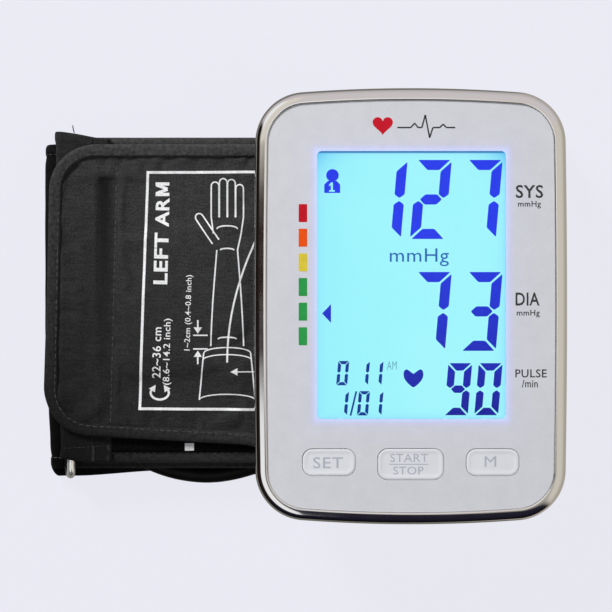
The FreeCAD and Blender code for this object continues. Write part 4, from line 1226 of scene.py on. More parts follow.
def figure_lines():
    """A plain figure of the builder's own: a straight arm with four round fingers, a band and its hose."""
    lines = []
    palm = [(4.4, WRIST), (5.9, WRIST + 7), (6.9, KNUCKLES)]
    for side, palm_side in ((-1, palm[1:]), (1, palm)):
        heights = np.linspace(BAND_HIGH + 3, WRIST, 9)
        lines.append([(ARM_MIDDLE + side * arm_half(y), y) for y in heights])
        lines.append([(ARM_MIDDLE + side * half, y) for half, y in palm_side])
        lines.append([(ARM_MIDDLE + side * 10, BAND_HIGH), (ARM_MIDDLE + side * 12, BAND_LOW)])
    for k in range(4):
        x, tip = ARM_MIDDLE + (k - 1.5) * 3.5, KNUCKLES + 15 - 0.9 * (k - 1.3) ** 2
        lines.append(finger((x, KNUCKLES), (x, tip)))
    lines.append(finger((ARM_MIDDLE - 4.9, WRIST + 3.5), (ARM_MIDDLE - 12, WRIST + 14)))
    lines += [bowed(4.5, KNUCKLES - 5, 1.4), bowed(3.0, WRIST, 0.7), bowed(4.0, BAND_HIGH + 6, 0.8)]
    band = [bowed(10, BAND_HIGH, 2.4), bowed(10.4, BAND_HIGH - 3, 2.4), bowed(12, BAND_LOW, 2.4)]
    shares = np.linspace(0, 1, 12)
    hose = [(ARM_MIDDLE + 14 * share**2, BAND_HIGH - 4 + 56 * share) for share in shares]
    return [(line, 0.62) for line in lines] + [(line, 0.5) for line in band] + [(hose, 0.8)]


def label(top, ink):
    """The printed frame, text, arrows and figure that show how the cuff is put on the arm."""
    half = FRAME_WIDTH / 2
    high_left, low_left = Vector(LABEL_TOP_LEFT), Vector(LABEL_BOTTOM_LEFT)
    down = (low_left - high_left).normalized() * half
    lines = [
        ((tuple(high_left - Vector((half, 0))), LABEL_TOP_RIGHT), FRAME_WIDTH),
        ((tuple(high_left - down), tuple(low_left + down)), FRAME_WIDTH),
        ((tuple(low_left - Vector((half, 0))), LABEL_BOTTOM_RIGHT), FRAME_WIDTH),
        ((LABEL_TOP_RIGHT, LABEL_BOTTOM_RIGHT), FRAME_WIDTH),
        (((GAP_MIDDLE - 2, GAP_HIGH), (GAP_MIDDLE + 4.2, GAP_HIGH)), 0.6),
        (((GAP_MIDDLE - 2, GAP_LOW), (GAP_MIDDLE + 4.2, GAP_LOW)), 0.6),
        (((GAP_MIDDLE, GAP_HIGH + 6.5), (GAP_MIDDLE, GAP_HIGH + 3)), 0.7),
        (((GAP_MIDDLE, GAP_LOW - 6.5), (GAP_MIDDLE, GAP_LOW - 3)), 0.7),
        (((-16.0, -28.0), (ARM_MIDDLE + 4, -28.0)), 0.5),
        (((-55.8, 47.8), (-61.7, 47.8)), 1.4),
        (((-61.4, 48.2), (-56.6, 50.0)), 1.3),
        (((-61.4, 51.9), (-56.6, 50.1)), 1.3),
        (((-55.8, 52.3), (-61.7, 52.3)), 1.4),
    ]
    lines += figure_lines()
    angles = np.radians(np.linspace(140, 400, 34))
    turn = [(-59.9 + 3.9 * math.cos(a), -37.0 + 2.9 * math.sin(a)) for a in angles]
    lines += [(turn, 0.95)]
    parts = [ribbon(line, width, top) for line, width in lines]
    lean = 90 - math.degrees(LABEL_TURN) * 0.8
    parts += [
        draped_letters(top, "LEFT", (-56.5, 9.3), 22.0, 6.0, lean, 0.27),
        draped_letters(top, "AR", (-56.0, 33.9), 12.4, 5.9, lean, 0.27),
        draped_letters(top, "22~36 cm", (-59.5, -30.7), 21.7, 3.7, lean, 0.13),
        draped_letters(top, "(8.6~14.2 inch)", (-54.9, -33.7), 28.4, 3.8, lean, 0.11),
        draped_letters(top, "artery mark", (-16.0, -10.5), 18.0, 3.6, 90, 0.08),
        draped_letters(top, "1~2cm (0.4~0.8 inch)", (-46.2, -18.9), 32.2, 3.2, lean, 0.11),
    ]
    heads = [
        *(((GAP_MIDDLE - 1.8, foot), (GAP_MIDDLE + 1.8, foot), (GAP_MIDDLE, tip))
          for foot, tip in ((GAP_HIGH + 3.4, GAP_HIGH + 0.7), (GAP_LOW - 3.4, GAP_LOW - 0.7))),
        ((ARM_MIDDLE + 4.4, -29.6), (ARM_MIDDLE + 4.4, -26.4), (ARM_MIDDLE + 1.4, -28.0)),
        ((-64.6, -35.2), (-61.6, -33.6), (-62.0, -36.8)),
        ((-55.2, -35.2), (-58.2, -33.6), (-57.8, -36.8)),
    ]
    parts += [arrow_head(top, *(Vector(corner) for corner in head)) for head in heads]
    thing = link("printed_label", *merged(parts), ink)
    to_flap(thing)


def index_mark(top, ink):
    """The small white mark that shows whether the cuff fits the arm."""
    across, down = np.linspace(-49.3, -45.4, 5), np.linspace(-61.9, -58.7, 5)
    points = [top.drape(x, y, 0.09) for x in across for y in down]
    faces = [(5 * i + j, 5 * i + j + 5, 5 * i + j + 6, 5 * i + j + 1) for i in range(4) for j in range(4)]
    thing = link("index_mark", points, faces, ink)
    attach(thing, "cuff")


# ---------------------------------------------------------------- display and face markings

GLASS_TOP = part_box("display_glass")[1].z / MM
WINDOW_LOW, WINDOW_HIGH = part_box("display_window")
PANEL_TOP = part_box("face_panel")[1].z / MM
VIEW_CENTRE = (WINDOW_LOW + WINDOW_HIGH) / 2
VIEW_HALF = (WINDOW_HIGH - WINDOW_LOW) / 2
INK_HEIGHT = 0.04
KEY_FLANGE, KEY_CORNER, KEY_DISH, KEY_SIDE = 1.2, 4.0, 0.65, 0.13
KEY_FOOT, KEY_STEM = 2.9, 1.5
SLANT = 0.087
# which bars of a seven-bar digit are lit: a top, b and c right, d bottom, e and f left, g middle
LIT = {"0": "abcdef", "1": "bc", "2": "abged", "3": "abgcd", "7": "abc", "9": "abcdfg"}


def from_centre(look):
    """How far a place is from the display's middle, across and up, each with the display's half size."""
    found = []
    for axis, centre, half in zip(look.axes(), VIEW_CENTRE.xy, VIEW_HALF.xy):
        found.append((look.math("ABSOLUTE", look.math("SUBTRACT", axis, centre)), half))
    return found


def near(look, gap, reach):
    """1 where the gap is nothing, falling smoothly to 0 at reach."""
    inputs = [("Value", gap), ("From Min", reach), ("From Max", 0.0)]
    return look.add("ShaderNodeMapRange", inputs, interpolation_type="SMOOTHSTEP").outputs[0]


def lit_display():
    """The backlit display: cyan, deeper towards its edges and corners, with a painted shadow of the window's
    rim along its top edge.
    """
    look = Look("lcd_glass", grey(8), 0.5, Specular_IOR_Level=0.0)
    x, y = look.axes()[:2]
    reach = [look.math("DIVIDE", away, half) for away, half in from_centre(look)]
    upper = look.ranged(y, 0, 1, VIEW_CENTRE.y, VIEW_CENTRE.y + VIEW_HALF.y * 0.9)
    corner = look.math("MULTIPLY", look.math("POWER", reach[0], 5.0), look.math("POWER", reach[1], 9.0))
    corner = look.math("MULTIPLY", corner, upper)
    # Painted shadow of the window's rim along the display's top edge.
    shadow = look.ranged(y, 0, 1, VIEW_CENTRE.y + VIEW_HALF.y - 0.0009, VIEW_CENTRE.y + VIEW_HALF.y - 0.0004)
    edge = look.math("MAXIMUM", look.math("POWER", reach[0], 20.0), look.math("POWER", reach[1], 40.0))
    leftward = look.ranged(x, 1, 0, VIEW_CENTRE.x - VIEW_HALF.x, VIEW_CENTRE.x)
    colour = look.mixed(look.noise(0.03, 2.0), screen(158, 246, 254), screen(168, 250, 255))
    colour = look.mixed(look.math("MULTIPLY", leftward, 0.5), colour, screen(146, 240, 255))
    colour = look.mixed(look.math("MINIMUM", edge, 1.0), colour, screen(150, 232, 255))
    colour = look.mixed(look.math("MINIMUM", corner, 1.0), colour, screen(96, 196, 246))
    colour = look.mixed(shadow, colour, screen(62, 128, 190))
    look.glow(colour, 0.98)
    return look.material


def clear_window():
    look = Look("clear_window", grey(255), 0.03, Transmission_Weight=1.0, IOR=1.14)
    look.rough(look.noise(0.01), 0.02, 0.05)
    return look.material


def light_sheet():
    look = Look("light_guide", grey(240), 0.4)
    look.shade(look.noise(0.01), screen(225, 245, 250), grey(250))
    look.glow(screen(200, 240, 255), 0.6)
    return look.material


def silver_face():
    """Satin silver paint with a fine metal flake, and a painted glow of blue light round the display, made
    with emission.
    """
    look = Look("silver_face", screen(212, 213, 217), 0.55, Specular_IOR_Level=0.16)
    flake = look.noise(0.0005, 2.0)
    clouds = look.math("MULTIPLY", look.noise(0.006, 4.0), 0.5)
    mottle = look.math("ADD", look.math("MULTIPLY", flake, 0.5), clouds)
    look.shade(mottle, screen(208, 209, 213), screen(217, 218, 222))
    look.rough(look.noise(0.002), 0.48, 0.62)
    look.bump(flake, 0.000004)
    squares = []
    for away, half in from_centre(look):
        past = look.math("MAXIMUM", look.math("SUBTRACT", away, half), 0.0)
        squares.append(look.math("MULTIPLY", past, past))
    gap = look.math("SQRT", look.math("ADD", *squares))
    # Painted light: the face glows blue near the display, standing for the display's spilled light.
    spill, wide = near(look, gap, 0.0042), near(look, gap, 0.016)
    glow = look.mixed(wide, (0, 0, 0, 1), (0.0, 0.0, 0.045, 1))
    glow = look.mixed(look.math("MULTIPLY", spill, 0.7), glow, (0.0, 0.0, 0.3, 1))
    look.glow(look.mixed(look.math("POWER", spill, 4.0), glow, (0.0, 0.09, 0.34, 1)), 1.0)
    return look.material


def lcd_ink(name, high, low):
    """Lit bars, deeper in colour towards the bottom of the display."""
    look = Look(name, grey(0), 0.6, Specular_IOR_Level=0.0)
    y = look.axes()[1]
    share = look.ranged(y, 1, 0, VIEW_CENTRE.y - VIEW_HALF.y, VIEW_CENTRE.y + VIEW_HALF.y * 0.4)
    colour = look.mixed(look.math("MINIMUM", look.math("MAXIMUM", share, 0.0), 1.0), high, low)
    look.glow(look.mixed(look.ranged(look.noise(0.004), 0, 0.3), colour, low), 0.95)
    return look.material


def printed(name, colour):
    """Screen-printed paint on the face."""
    look = Look(name, colour, 0.6, Specular_IOR_Level=0.12)
    darker = tuple(c * 0.88 for c in colour[:3]) + (1.0,)
    look.shade(look.noise(0.003), darker, colour)
    look.rough(look.noise(0.001), 0.42, 0.6)
    look.bump(look.noise(0.0006), 0.000006)
    return look.material


def bar_shapes(width, height, thick, gap):
    """The outlines of a digit's seven bars, before its slant."""
    middle, half, side = height / 2, thick / 2, gap * 0.7
    top = [(side, height), (width - side, height)]
    top += [(width - thick - side, height - thick), (thick + side, height - thick)]
    upper_right = [
        (width, height - side * 1.4), (width, middle + half), (width - half, middle + side),
        (width - thick, middle + half), (width - thick, height - thick - side),
    ]
    centre = [
        (half + side, middle), (thick + side, middle + half), (width - thick - side, middle + half),
        (width - half - side, middle), (width - thick - side, middle - half), (thick + side, middle - half),
    ]

    def flipped(shape, across, down):
        return [(width - x if across else x, height - y if down else y) for x, y in shape]

    return {
        "a": top,
        "b": upper_right,
        "c": flipped(upper_right, False, True),
        "d": flipped(top, False, True),
        "e": flipped(upper_right, True, True),
        "f": flipped(upper_right, True, False),
        "g": centre,
    }


def raised(outline, level, height=INK_HEIGHT):
    """A thin solid over an outline."""
    count = len(outline)
    points = [(x, y, level) for x, y in outline] + [(x, y, level + height) for x, y in outline]
    faces = [tuple(range(count)), tuple(range(count, 2 * count))]
    faces += [(k, (k + 1) % count, (k + 1) % count + count, k + count) for k in range(count)]
    return points, faces


def digit(number, right, top, width, height, thick, level):
    """A lit digit whose top right corner is given."""
    parts = []
    for bar in LIT[number]:
        shape = bar_shapes(width, height, thick, thick * 0.2)[bar]
        outline = [(right - width + x + (y - height) * SLANT, top - height + y) for x, y in shape]
        parts.append(raised(softened(outline, thick * 0.08), level))
    return merged(parts)


def softened(outline, radius):
    """The outline with each corner cut by a small amount, so that it looks printed."""
    found = []
    for k, point in enumerate(outline):
        here = Vector((*point, 0))
        for other in (outline[k - 1], outline[(k + 1) % len(outline)]):
            way = Vector((*other, 0)) - here
            spot = here + way.normalized() * min(radius, way.length * 0.3)
            found.append((spot.x, spot.y))
    return found


def heart(centre, width, height, fullness=3.0):
    """A heart's outline; a lower fullness makes it rounder."""
    angles = np.linspace(0, TAU, 48, endpoint=False)
    across = 16 * np.sign(np.sin(angles)) * np.abs(np.sin(angles)) ** fullness
    up = 13 * np.cos(angles) - 5 * np.cos(2 * angles) - 2 * np.cos(3 * angles) - np.cos(4 * angles)
    return [(centre[0] + x / 32 * width, centre[1] + (y + 2.5) / 29 * height) for x, y in zip(across, up)]


def rectangle(left, bottom, right, top):
    return [(left, bottom), (right, bottom), (right, top), (left, top)]


def stroke(line, width):
    """The outline of a line drawn with that width."""
    sides = [], []
    for k, point in enumerate(line):
        before, after = line[max(k - 1, 0)], line[min(k + 1, len(line) - 1)]
        way = Vector((after[0] - before[0], after[1] - before[1], 0)).normalized()
        for side, sign in zip(sides, (1, -1)):
            side.append((point[0] - way.y * sign * width / 2, point[1] + way.x * sign * width / 2))
    return sides[0] + sides[1][::-1]


def strokes(line, width, level):
    """A line drawn as one short raised bar after another."""
    return merged([raised(stroke([a, b], width), level) for a, b in zip(line, line[1:])])


def flat_letters(level, text, box, weight=0.0, height=INK_HEIGHT):
    """A text as a thin solid that just fills a box (left, bottom, right, top)."""
    left, bottom, right, top = box
    points, faces = letters(text, (left, bottom), right - left, top - bottom, 0.0, weight)
    count = len(points)
    edges = {}
    for face in faces:
        for a, b in zip(face, face[1:] + face[:1]):
            if edges.pop((b, a), None) is None:
                edges[a, b] = True
    solid = [(x, y, level) for x, y in points] + [(x, y, level + height) for x, y in points]
    sides = [(a, b, b + count, a + count) for a, b in edges]
    return solid, [*faces, *[tuple(k + count for k in face) for face in faces], *sides]


def show(name, parts, material, body="display_unit"):
    thing = link(name, *merged(parts), material, smooth=False)
    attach(thing, body)
    return thing


def readings():
    """The numbers and signs on the display."""
    level = GLASS_TOP + 0.01
    deep = lcd_ink("lcd_bars", screen(44, 66, 252), screen(32, 38, 152))
    fine = lcd_ink("lcd_fine", screen(46, 112, 190), screen(40, 90, 170))
    pale = lcd_ink("lcd_pale", screen(110, 178, 200), screen(104, 170, 195))
    big = [("1", 44.8), ("2", 63.1), ("7", 84.2)]
    parts = [digit(n, right, 60.7, 14.5, 32.8, 4.2, level) for n, right in big]
    parts += [digit(n, right, 14.2, 14.5, 32.7, 4.2, level) for n, right in (("7", 63.1), ("3", 84.2))]
    parts += [digit(n, right, -23.6, 9.9, 21.6, 3.1, level) for n, right in (("9", 71.6), ("0", 84.2))]
    show("pressure_digits", parts, deep)
    small = [("0", 20.6, -22.7), ("1", 29.2, -22.7), ("1", 34.8, -22.7)]
    small += [("1", 20.5, -35.2), ("0", 29.2, -35.2), ("1", 34.8, -35.2)]
    parts = [digit(n, right, top, 4.6, 10.1, 1.35, level) for n, right, top in small]
    parts.append(strokes([(21.1, -45.4), (23.5, -35.3)], 0.75, level))
    show("clock_digits", parts, lcd_ink("lcd_small", screen(30, 60, 170), screen(26, 62, 150)))
    parts = [raised(heart((47.2, -29.9), 8.2, 7.4, 1.4), level)]
    parts.append(raised([(9.3, -3.0), (13.0, 0.9), (13.0, -6.9)], level))
    head = [(13.6 + 2.6 * math.cos(a), 54.3 + 2.6 * math.sin(a)) for a in stem_angles(28)]
    parts.append(raised(head, level))
    left_side = [(10.2, 47.0), (12.2, 47.0), (12.2, 48.2), (12.95, 48.2), (12.95, 50.3), (12.2, 49.7)]
    left_side += [(12.2, 50.4), (13.1, 51.4), (13.1, 52.0), (11.7, 52.0), (10.2, 50.5)]
    right_side = [(16.8, 47.0), (14.6, 47.0), (14.6, 48.2), (13.8, 48.2), (13.8, 51.4), (13.1, 51.4)]
    right_side += [(13.1, 52.0), (15.3, 52.0), (16.8, 50.5)]
    parts += [raised(side, level) for side in (left_side, right_side, rectangle(12.2, 47.0, 14.6, 47.5))]
    show("display_signs", parts, deep)
    show("display_unit_text", [flat_letters(level, "mmHg", (37.4, 16.6, 61.9, 24.0))], fine)
    show("display_morning_text", [flat_letters(level, "AM", (36.2, -26.3, 40.3, -22.8))], pale)


def rounded_ring(centre, width, height, radius, level, per_corner=10):
    """Points round a rectangle with round corners."""
    points = []
    for number, (sx, sy) in enumerate(((1, 1), (-1, 1), (-1, -1), (1, -1))):
        middle = centre[0] + sx * (width / 2 - radius), centre[1] + sy * (height / 2 - radius)
        for k in range(per_corner + 1):
            angle = math.pi / 2 * (number + k / per_corner)
            points.append((middle[0] + radius * math.cos(angle), middle[1] + radius * math.sin(angle), level))
    return points


def dished_key(name, node, body, material):
    """A push button whose face is dished inside a soft rim."""
    low, high = (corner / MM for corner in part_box(node))
    centre = (low.x + high.x) / 2, (low.y + high.y) / 2
    width, height = high.x - low.x, high.y - low.y
    flange = KEY_FLANGE
    profile = [(0.0, low.z + KEY_FOOT), (0.0, low.z + 4.1), (flange, low.z + 4.1)]
    profile += [(flange - KEY_SIDE, high.z - 1.4), (flange - KEY_SIDE, high.z - 0.75)]
    profile += [(flange + 0.1, high.z - 0.58), (flange + 0.4, high.z - 0.47)]
    profile += [(flange + 0.8, high.z - 0.45), (flange + 1.3, high.z - 0.52), (flange + 1.8, high.z - 0.61)]
    profile += [(flange + 2.4, high.z - KEY_DISH), (flange + 3.4, high.z - KEY_DISH)]
    rings = []
    for inset, level in profile:
        radius = max(KEY_CORNER + flange - inset, 1.0)
        rings.append(rounded_ring(centre, width - 2 * inset, height - 2 * inset, radius, level))
    angles = stem_angles(len(rings[0]))
    stem = [(centre[0] + KEY_STEM * math.cos(a), centre[1] + KEY_STEM * math.sin(a)) for a in angles]
    rings = [[(x, y, low.z) for x, y in stem], [(x, y, low.z + KEY_FOOT) for x, y in stem], *rings]
    points = [point for ring in rings for point in ring]
    thing = link(name, points, skin(len(rings), len(rings[0])), material)
    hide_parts(node)
    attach(thing, body)
    return high.z - KEY_DISH


UNIT_CENTRE_X, UNIT_WIDTH, UNIT_HEIGHT = 46.0, 130.0, 181.0
UNIT_CORNER, SIDE_ARC, END_ARC = 21.0, 4000.0, 600.0
BEZEL_TOP, BEZEL_DEPTH, BEZEL_BAND = 52.0, 10.0, 5.08
BEZEL_CREST, BEZEL_FALL, BEZEL_LIP = 0.6, 3.0, 0.4


def unit_outline(corner_steps=30, side_steps=36):
    """The unit's outline, eight arcs that meet smoothly: (x, y, outward x, outward y) for each point."""
    left, low = UNIT_WIDTH / 2 - SIDE_ARC, UNIT_HEIGHT / 2 - END_ARC
    corner_x, corner_y = UNIT_WIDTH / 2, UNIT_HEIGHT / 2
    for _ in range(60):
        corner_x = left + math.sqrt((SIDE_ARC - UNIT_CORNER) ** 2 - corner_y**2)
        corner_y = low + math.sqrt((END_ARC - UNIT_CORNER) ** 2 - corner_x**2)
    side_turn = math.atan2(corner_y, corner_x - left)
    end_turn = math.atan2(corner_y - low, corner_x)
    quarter = []
    for centre, radius, start, end, steps in (
        ((left, 0), SIDE_ARC, 0, side_turn, side_steps),
        ((corner_x, corner_y), UNIT_CORNER, side_turn, end_turn, corner_steps),
        ((0, low), END_ARC, end_turn, math.pi / 2, side_steps),
    ):
        for step in range(steps):
            angle = start + (end - start) * step / steps
            across, up = math.cos(angle), math.sin(angle)
            quarter.append((centre[0] + radius * across, centre[1] + radius * up, across, up))
    top = (0.0, UNIT_HEIGHT / 2, 0.0, 1.0)
    half = [*quarter, top, *[(-x, y, -across, up) for x, y, across, up in reversed(quarter)]]
    return half[:-1] + [(-x, -y, -across, -up) for x, y, across, up in half[:-1]]


def bezel_profile():
    """Distance in from the outline and height, from the outer foot over the crest to the inner wall."""
    reach = BEZEL_BAND - BEZEL_CREST - BEZEL_LIP
    foot = BEZEL_TOP - BEZEL_DEPTH
    profile = [(0.0, foot), (0.0, foot + 0.4), (0.0, BEZEL_TOP - BEZEL_FALL - 1.0)]
    for angle in np.linspace(0, math.pi / 2, 22):
        profile.append((reach * (1 - math.cos(angle)), BEZEL_TOP - BEZEL_FALL * (1 - math.sin(angle))))
    for angle in np.linspace(math.pi / 2, 0, 8):
        inset = BEZEL_BAND - BEZEL_LIP * (1 - math.cos(angle))
        profile.append((inset, BEZEL_TOP - BEZEL_LIP * (1 - math.sin(angle))))
    return [*profile, (BEZEL_BAND, BEZEL_TOP - 1.2), (BEZEL_BAND, foot)]


def bezel(material):
    """The polished trim round the face: an even, softly falling band with a narrow crest."""
    outline, profile = unit_outline(), bezel_profile()
    points = []
    for x, y, across, up in outline:
        for inset, level in profile:
            points.append((UNIT_CENTRE_X + x - across * inset, y - up * inset, level))
    count, around = len(profile), len(outline)
    faces = []
    for k in range(around):
        for j in range(count):
            a, b = k * count + j, k * count + (j + 1) % count
            c, d = (k + 1) % around * count + (j + 1) % count, (k + 1) % around * count + j
            faces.append((a, b, c, d))
    thing = link("bezel_trim", points, faces, material)
    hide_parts("bezel")
    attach(thing, "display_unit")


def stem_angles(count):
    """Even angles round a full turn, from 0, where a rounded ring starts too."""
    return [TAU * k / count for k in range(count)]


def face_marks():
    """The coloured level bars, the labels beside the display, the button legends and a plain emblem."""
    colours = [
        screen(200, 28, 42), screen(244, 88, 24), screen(230, 208, 66),
        screen(50, 158, 78), screen(50, 158, 78), screen(50, 158, 78),
    ]
    for number, colour in enumerate(colours):
        top = 42.3 - 10.2 * number
        bar = softened(rectangle(-0.4, top - 7.45, 3.1, top), 0.15)
        paint_look = printed(f"level_paint_{number + 1}", colour)
        show(f"level_bar_{number + 1}", [raised(bar, PANEL_TOP)], paint_look)
    dark = printed("label_ink", grey(62))
    words = [
        ("SYS", (89.5, 44.8, 100.8, 50.2), 0.14), ("mmHg", (90.4, 40.5, 99.9, 43.6), 0.1),
        ("DIA", (89.4, 0.3, 99.3, 5.7), 0.14), ("mmHg", (89.9, -4.6, 99.4, -1.5), 0.1),
        ("PULSE", (89.3, -29.5, 102.3, -26.1), 0.08), ("/min", (92.0, -33.6, 98.6, -30.4), 0.08),
    ]
    show("face_labels", [flat_letters(PANEL_TOP, text, box, weight) for text, box, weight in words], dark)
    emblem = heart((34.4, 74.5), 8.4, 7.6)
    show("emblem_heart", [raised(emblem, PANEL_TOP)], printed("emblem_red", screen(205, 30, 48)))
    beat = [(40.4, 74.0), (46.0, 74.0), (47.6, 75.8), (49.0, 74.0), (50.6, 74.0), (52.0, 79.2), (53.8, 69.8)]
    beat += [(55.2, 74.0), (58.0, 74.0), (59.4, 75.4), (60.8, 74.0), (64.4, 74.0)]
    show("emblem_pulse", [strokes(beat, 0.6, PANEL_TOP)], dark)
    legend = printed("legend_ink", screen(184, 187, 197))
    plastic = moulded("key_plastic", screen(226, 228, 232), 0.45)
    for key in ("set", "start", "memory"):
        key_top = dished_key(f"{key}_key_cap", f"{key}_button", f"{key}_key", plastic)
    show("set_legend", [flat_letters(key_top, "SET", (5.6, -67.1, 17.9, -62.5))], legend, "set_key")
    start = [flat_letters(key_top, "START", (37.5, -64.5, 53.2, -61.1))]
    start.append(flat_letters(key_top, "STOP", (38.8, -69.7, 51.3, -66.4)))
    start.append(strokes([(37.1, -65.45), (53.3, -65.45)], 0.35, key_top))
    show("start_legend", start, legend, "start_key")
    show("memory_legend", [flat_letters(key_top, "M", (76.6, -66.5, 81.4, -62.1))], legend, "memory_key")


# ---------------------------------------------------------------- hose and plug

HOSE_ROUTE = (
    (-88.5, -40.0, 6.5),
    (-83.5, -54.0, 6.5),
    (-71.0, -66.0, 6.5),
    (-53.5, -73.0, 6.5),
    (-33.5, -74.3, 6.4),
    (-10.0, -66.8, 6.5),
    (12.0, -76.3, 5.0),
    (34.0, -84.5, 3.2),
    (55.0, -85.0, 3.1),
)
HOSE_RADIUS = 3.0
COIL_CENTRE = (70.0, -52.0)
COIL_STEPS = 24
COIL_END = -70.0
COIL_TOP = 9.95


def coil_points():
    """About two turns: one on the floor, the next starting inside it and then climbing on top of it."""
    points = []
    start, finish = -90.0, 720.0 + COIL_END
    count = round((finish - start) / 360 * COIL_STEPS)
    for step in range(count + 1):
        angle = start + (finish - start) * step / count
        radius = 33.4 - 6.2 * eased(angle, 225, 300) + 3.0 * eased(angle, 470, 545)
        height = 3.05 + (COIL_TOP - 3.05) * eased(angle, 400, 520)
        turned = math.radians(angle)
        x, y = COIL_CENTRE[0] + radius * math.cos(turned), COIL_CENTRE[1] + radius * math.sin(turned)
        points.append((x, y, height))
    return points


PLUG_GRIP, PLUG_RADIUS, PLUG_SLEEVE = 16.0, 3.9, 9.0


def turned_piece(name, start, aim, profile, material, around=28):
    """A round piece along an axis, from its (distance, radius) profile."""
    across = Vector((0, 0, 1))
    side = aim.cross(across)
    points = []
    for distance, radius in profile:
        for angle in stem_angles(around):
            spoke = across * math.cos(angle) + side * math.sin(angle)
            points.append(tuple(start + aim * distance + spoke * radius))
    return link(name, points, skin(len(profile), around), material)


def plug():
    """The air plug: a ribbed grip with a stop collar, and a sleeve that tapers onto the hose."""
    end = Vector(coil_points()[-1])
    turn = math.radians(COIL_END)
    aim = Vector((-math.sin(turn), math.cos(turn), 0))
    profile = [(-PLUG_SLEEVE, HOSE_RADIUS + 0.05), (-PLUG_SLEEVE + 0.6, HOSE_RADIUS + 0.3)]
    profile.append((-0.6, PLUG_RADIUS - 0.5))
    for rib in range(7):
        place = 0.4 + 1.9 * rib
        for ahead, sunk in ((0, 0.6), (0.35, 0.1), (1.05, 0.1), (1.4, 0.6)):
            profile.append((place + ahead, PLUG_RADIUS - sunk))
    collar = PLUG_GRIP - 1.8
    profile += [(collar, PLUG_RADIUS - 0.6), (collar + 0.3, PLUG_RADIUS), (PLUG_GRIP - 0.4, PLUG_RADIUS)]
    profile += [(PLUG_GRIP, PLUG_RADIUS - 0.4), (PLUG_GRIP, 1.2)]
    thing = turned_piece("air_plug_grip", end, aim, profile, moulded("plug_plastic", grey(26)))
    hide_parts("air_plug")
    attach(thing, "cuff")
    return thing


def relief():
    """The tapered strain relief where the hose leaves its port."""
    start = Vector(HOSE_ROUTE[0])
    aim = (Vector(HOSE_ROUTE[1]) - start).normalized()
    profile = [(-0.5, HOSE_RADIUS), (-0.5, 3.55), (1.5, 3.55), (2.0, 3.35), (3.0, 3.35), (3.5, 3.5)]
    profile += [(5.0, 3.45), (5.5, 3.25), (6.5, 3.25), (7.0, 3.35), (10.0, 3.2), (10.4, HOSE_RADIUS)]
    thing = turned_piece("hose_relief", start, aim, profile, rubber("relief_rubber", 20))
    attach(thing, "cuff")
    return thing


def hose():
    points = [*HOSE_ROUTE, *coil_points()]
    data = bpy.data.curves.new("hose", "CURVE")
    data.dimensions = "3D"
    data.bevel_depth = HOSE_RADIUS * MM
    data.bevel_resolution = 5
    data.resolution_u = 8
    data.use_fill_caps = True
    spline = data.splines.new("NURBS")
    spline.points.add(len(points) - 1)
    for point, place in zip(spline.points, points):
        point.co = (*[c * MM for c in place], 1.0)
    spline.order_u = 3
    spline.use_endpoint_u = True
    thing = bpy.data.objects.new("hose", data)
    bpy.context.scene.collection.objects.link(thing)
    data.materials.append(hose_rubber())
    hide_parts("hose_lead", "hose_coil")
    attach(thing, "cuff")
    plug()
    relief()


# ---------------------------------------------------------------- CAD nodes' materials


def circuit_board():
    """Green solder mask over copper tracks."""
    look = Look("circuit_board", screen(20, 84, 52), 0.35)
    tracks = look.cells(0.003, "DISTANCE_TO_EDGE")
    look.shade(tracks, screen(34, 116, 70), screen(16, 74, 46), 0.05, 0.09)
    look.rough(look.noise(0.002), 0.3, 0.45)
    look.bump(tracks, 0.00003)
    return look.material


def cell_wrap():
    """Shrink wrap on the cells, darker for most of their length and copper at one end."""
    look = Look("cell_wrap", grey(40), 0.3)
    along_cell = look.axes()[0]
    bands = look.math("PINGPONG", along_cell, 0.025)
    look.shade(bands, screen(186, 112, 60), grey(34), 0.008, 0.0085)
    look.rough(look.noise(0.003), 0.24, 0.4)
    look.bump(look.noise(0.001), 0.00001)
    return look.material


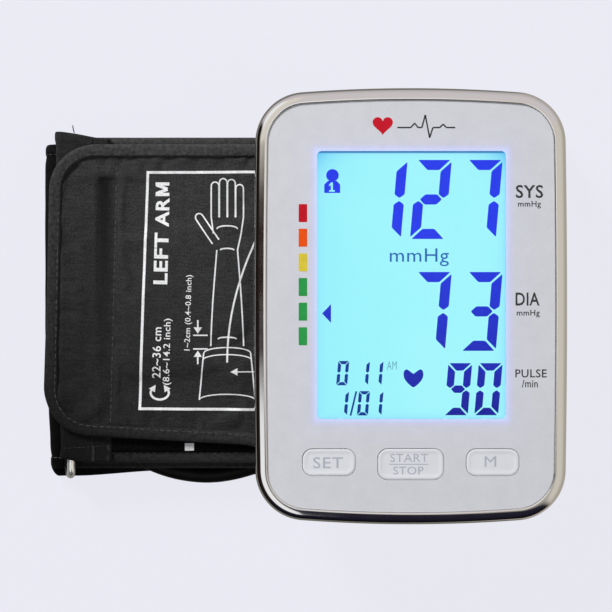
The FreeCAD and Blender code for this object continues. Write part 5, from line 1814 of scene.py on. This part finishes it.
def paint(node, material):
    """Gives a CAD node a finished material in place of its plain one."""
    mesh = NODES[node].data
    if not mesh.materials:
        mesh.materials.append(material)
    for index in range(len(mesh.materials)):
        mesh.materials[index] = material


def paint_frame():
    black = moulded("black_plastic", grey(28))
    white = moulded("white_plastic", grey(225), 0.5, depth=0.00003)
    steel = brushed("steel", grey(190), 0.3)
    finishes = {
        white: ("front_case", "rear_case", "battery_box", "battery_lid"),
        black: ("battery_tray", "buzzer", "release_valve", "pressure_sensor", "air_socket", "power_socket",
                "air_tee"),
        moulded("pump_plastic", grey(200)): ("pump_head",),
        steel: ("board_screws", "case_screws", "pump_rotor", "valve_plunger"),
        brushed("motor_can", grey(170), 0.35): ("pump_motor",),
        brushed("contact_metal", grey(205), 0.25): ("battery_contacts",),
        rubber("foot_rubber", 60): ("rubber_feet", "pump_cups", "air_tubes"),
        rubber("port_rubber", 22): ("hose_port", "bladder"),
        ring_chrome(): ("metal_ring",),
        moulded("nozzle_plastic", grey(26)): ("plug_nozzle",),
        silver_face(): ("face_panel",),
        lit_display(): ("display_glass",),
        clear_window(): ("display_window",),
        light_sheet(): ("backlight",),
        circuit_board(): ("main_board",),
        moulded("switch_plastic", grey(50)): ("button_switches",),
        cell_wrap(): ("batteries",),
    }
    for material, names in finishes.items():
        for name in names:
            paint(name, material)


def cuff():
    # The main cloth carries painted shade towards the cuff's lower left and along the flap's crease.
    cloth, tape, sewing, ink = nylon(creased=True), tape_cloth(), thread(), print_ink()
    band = layers(cloth, tape, sewing)
    top = flap_pieces(cloth, tape, sewing)
    # Painted shade: the sleeve's cloth is a darker copy of the cuff's nylon, standing for the shade where it
    # curves down.
    ring_sleeve(nylon("sleeve_nylon_painted_shade", 41), thread("dark_thread", 50))
    pile = patches()
    label(top, ink)
    index_mark(Surface(band, pile), ink)


bpy.context.scene.view_settings.view_transform = "Standard"
sky()
floor()
camera()
lamp("key_light", (-1.33, 1.61, 1.4), 0.75, 71.0)
lamp("fill_light", (0.9, -0.5, 1.5), 1.2, 6.0)
hose()
paint_frame()
cuff()
bezel(chrome())
readings()
face_marks()
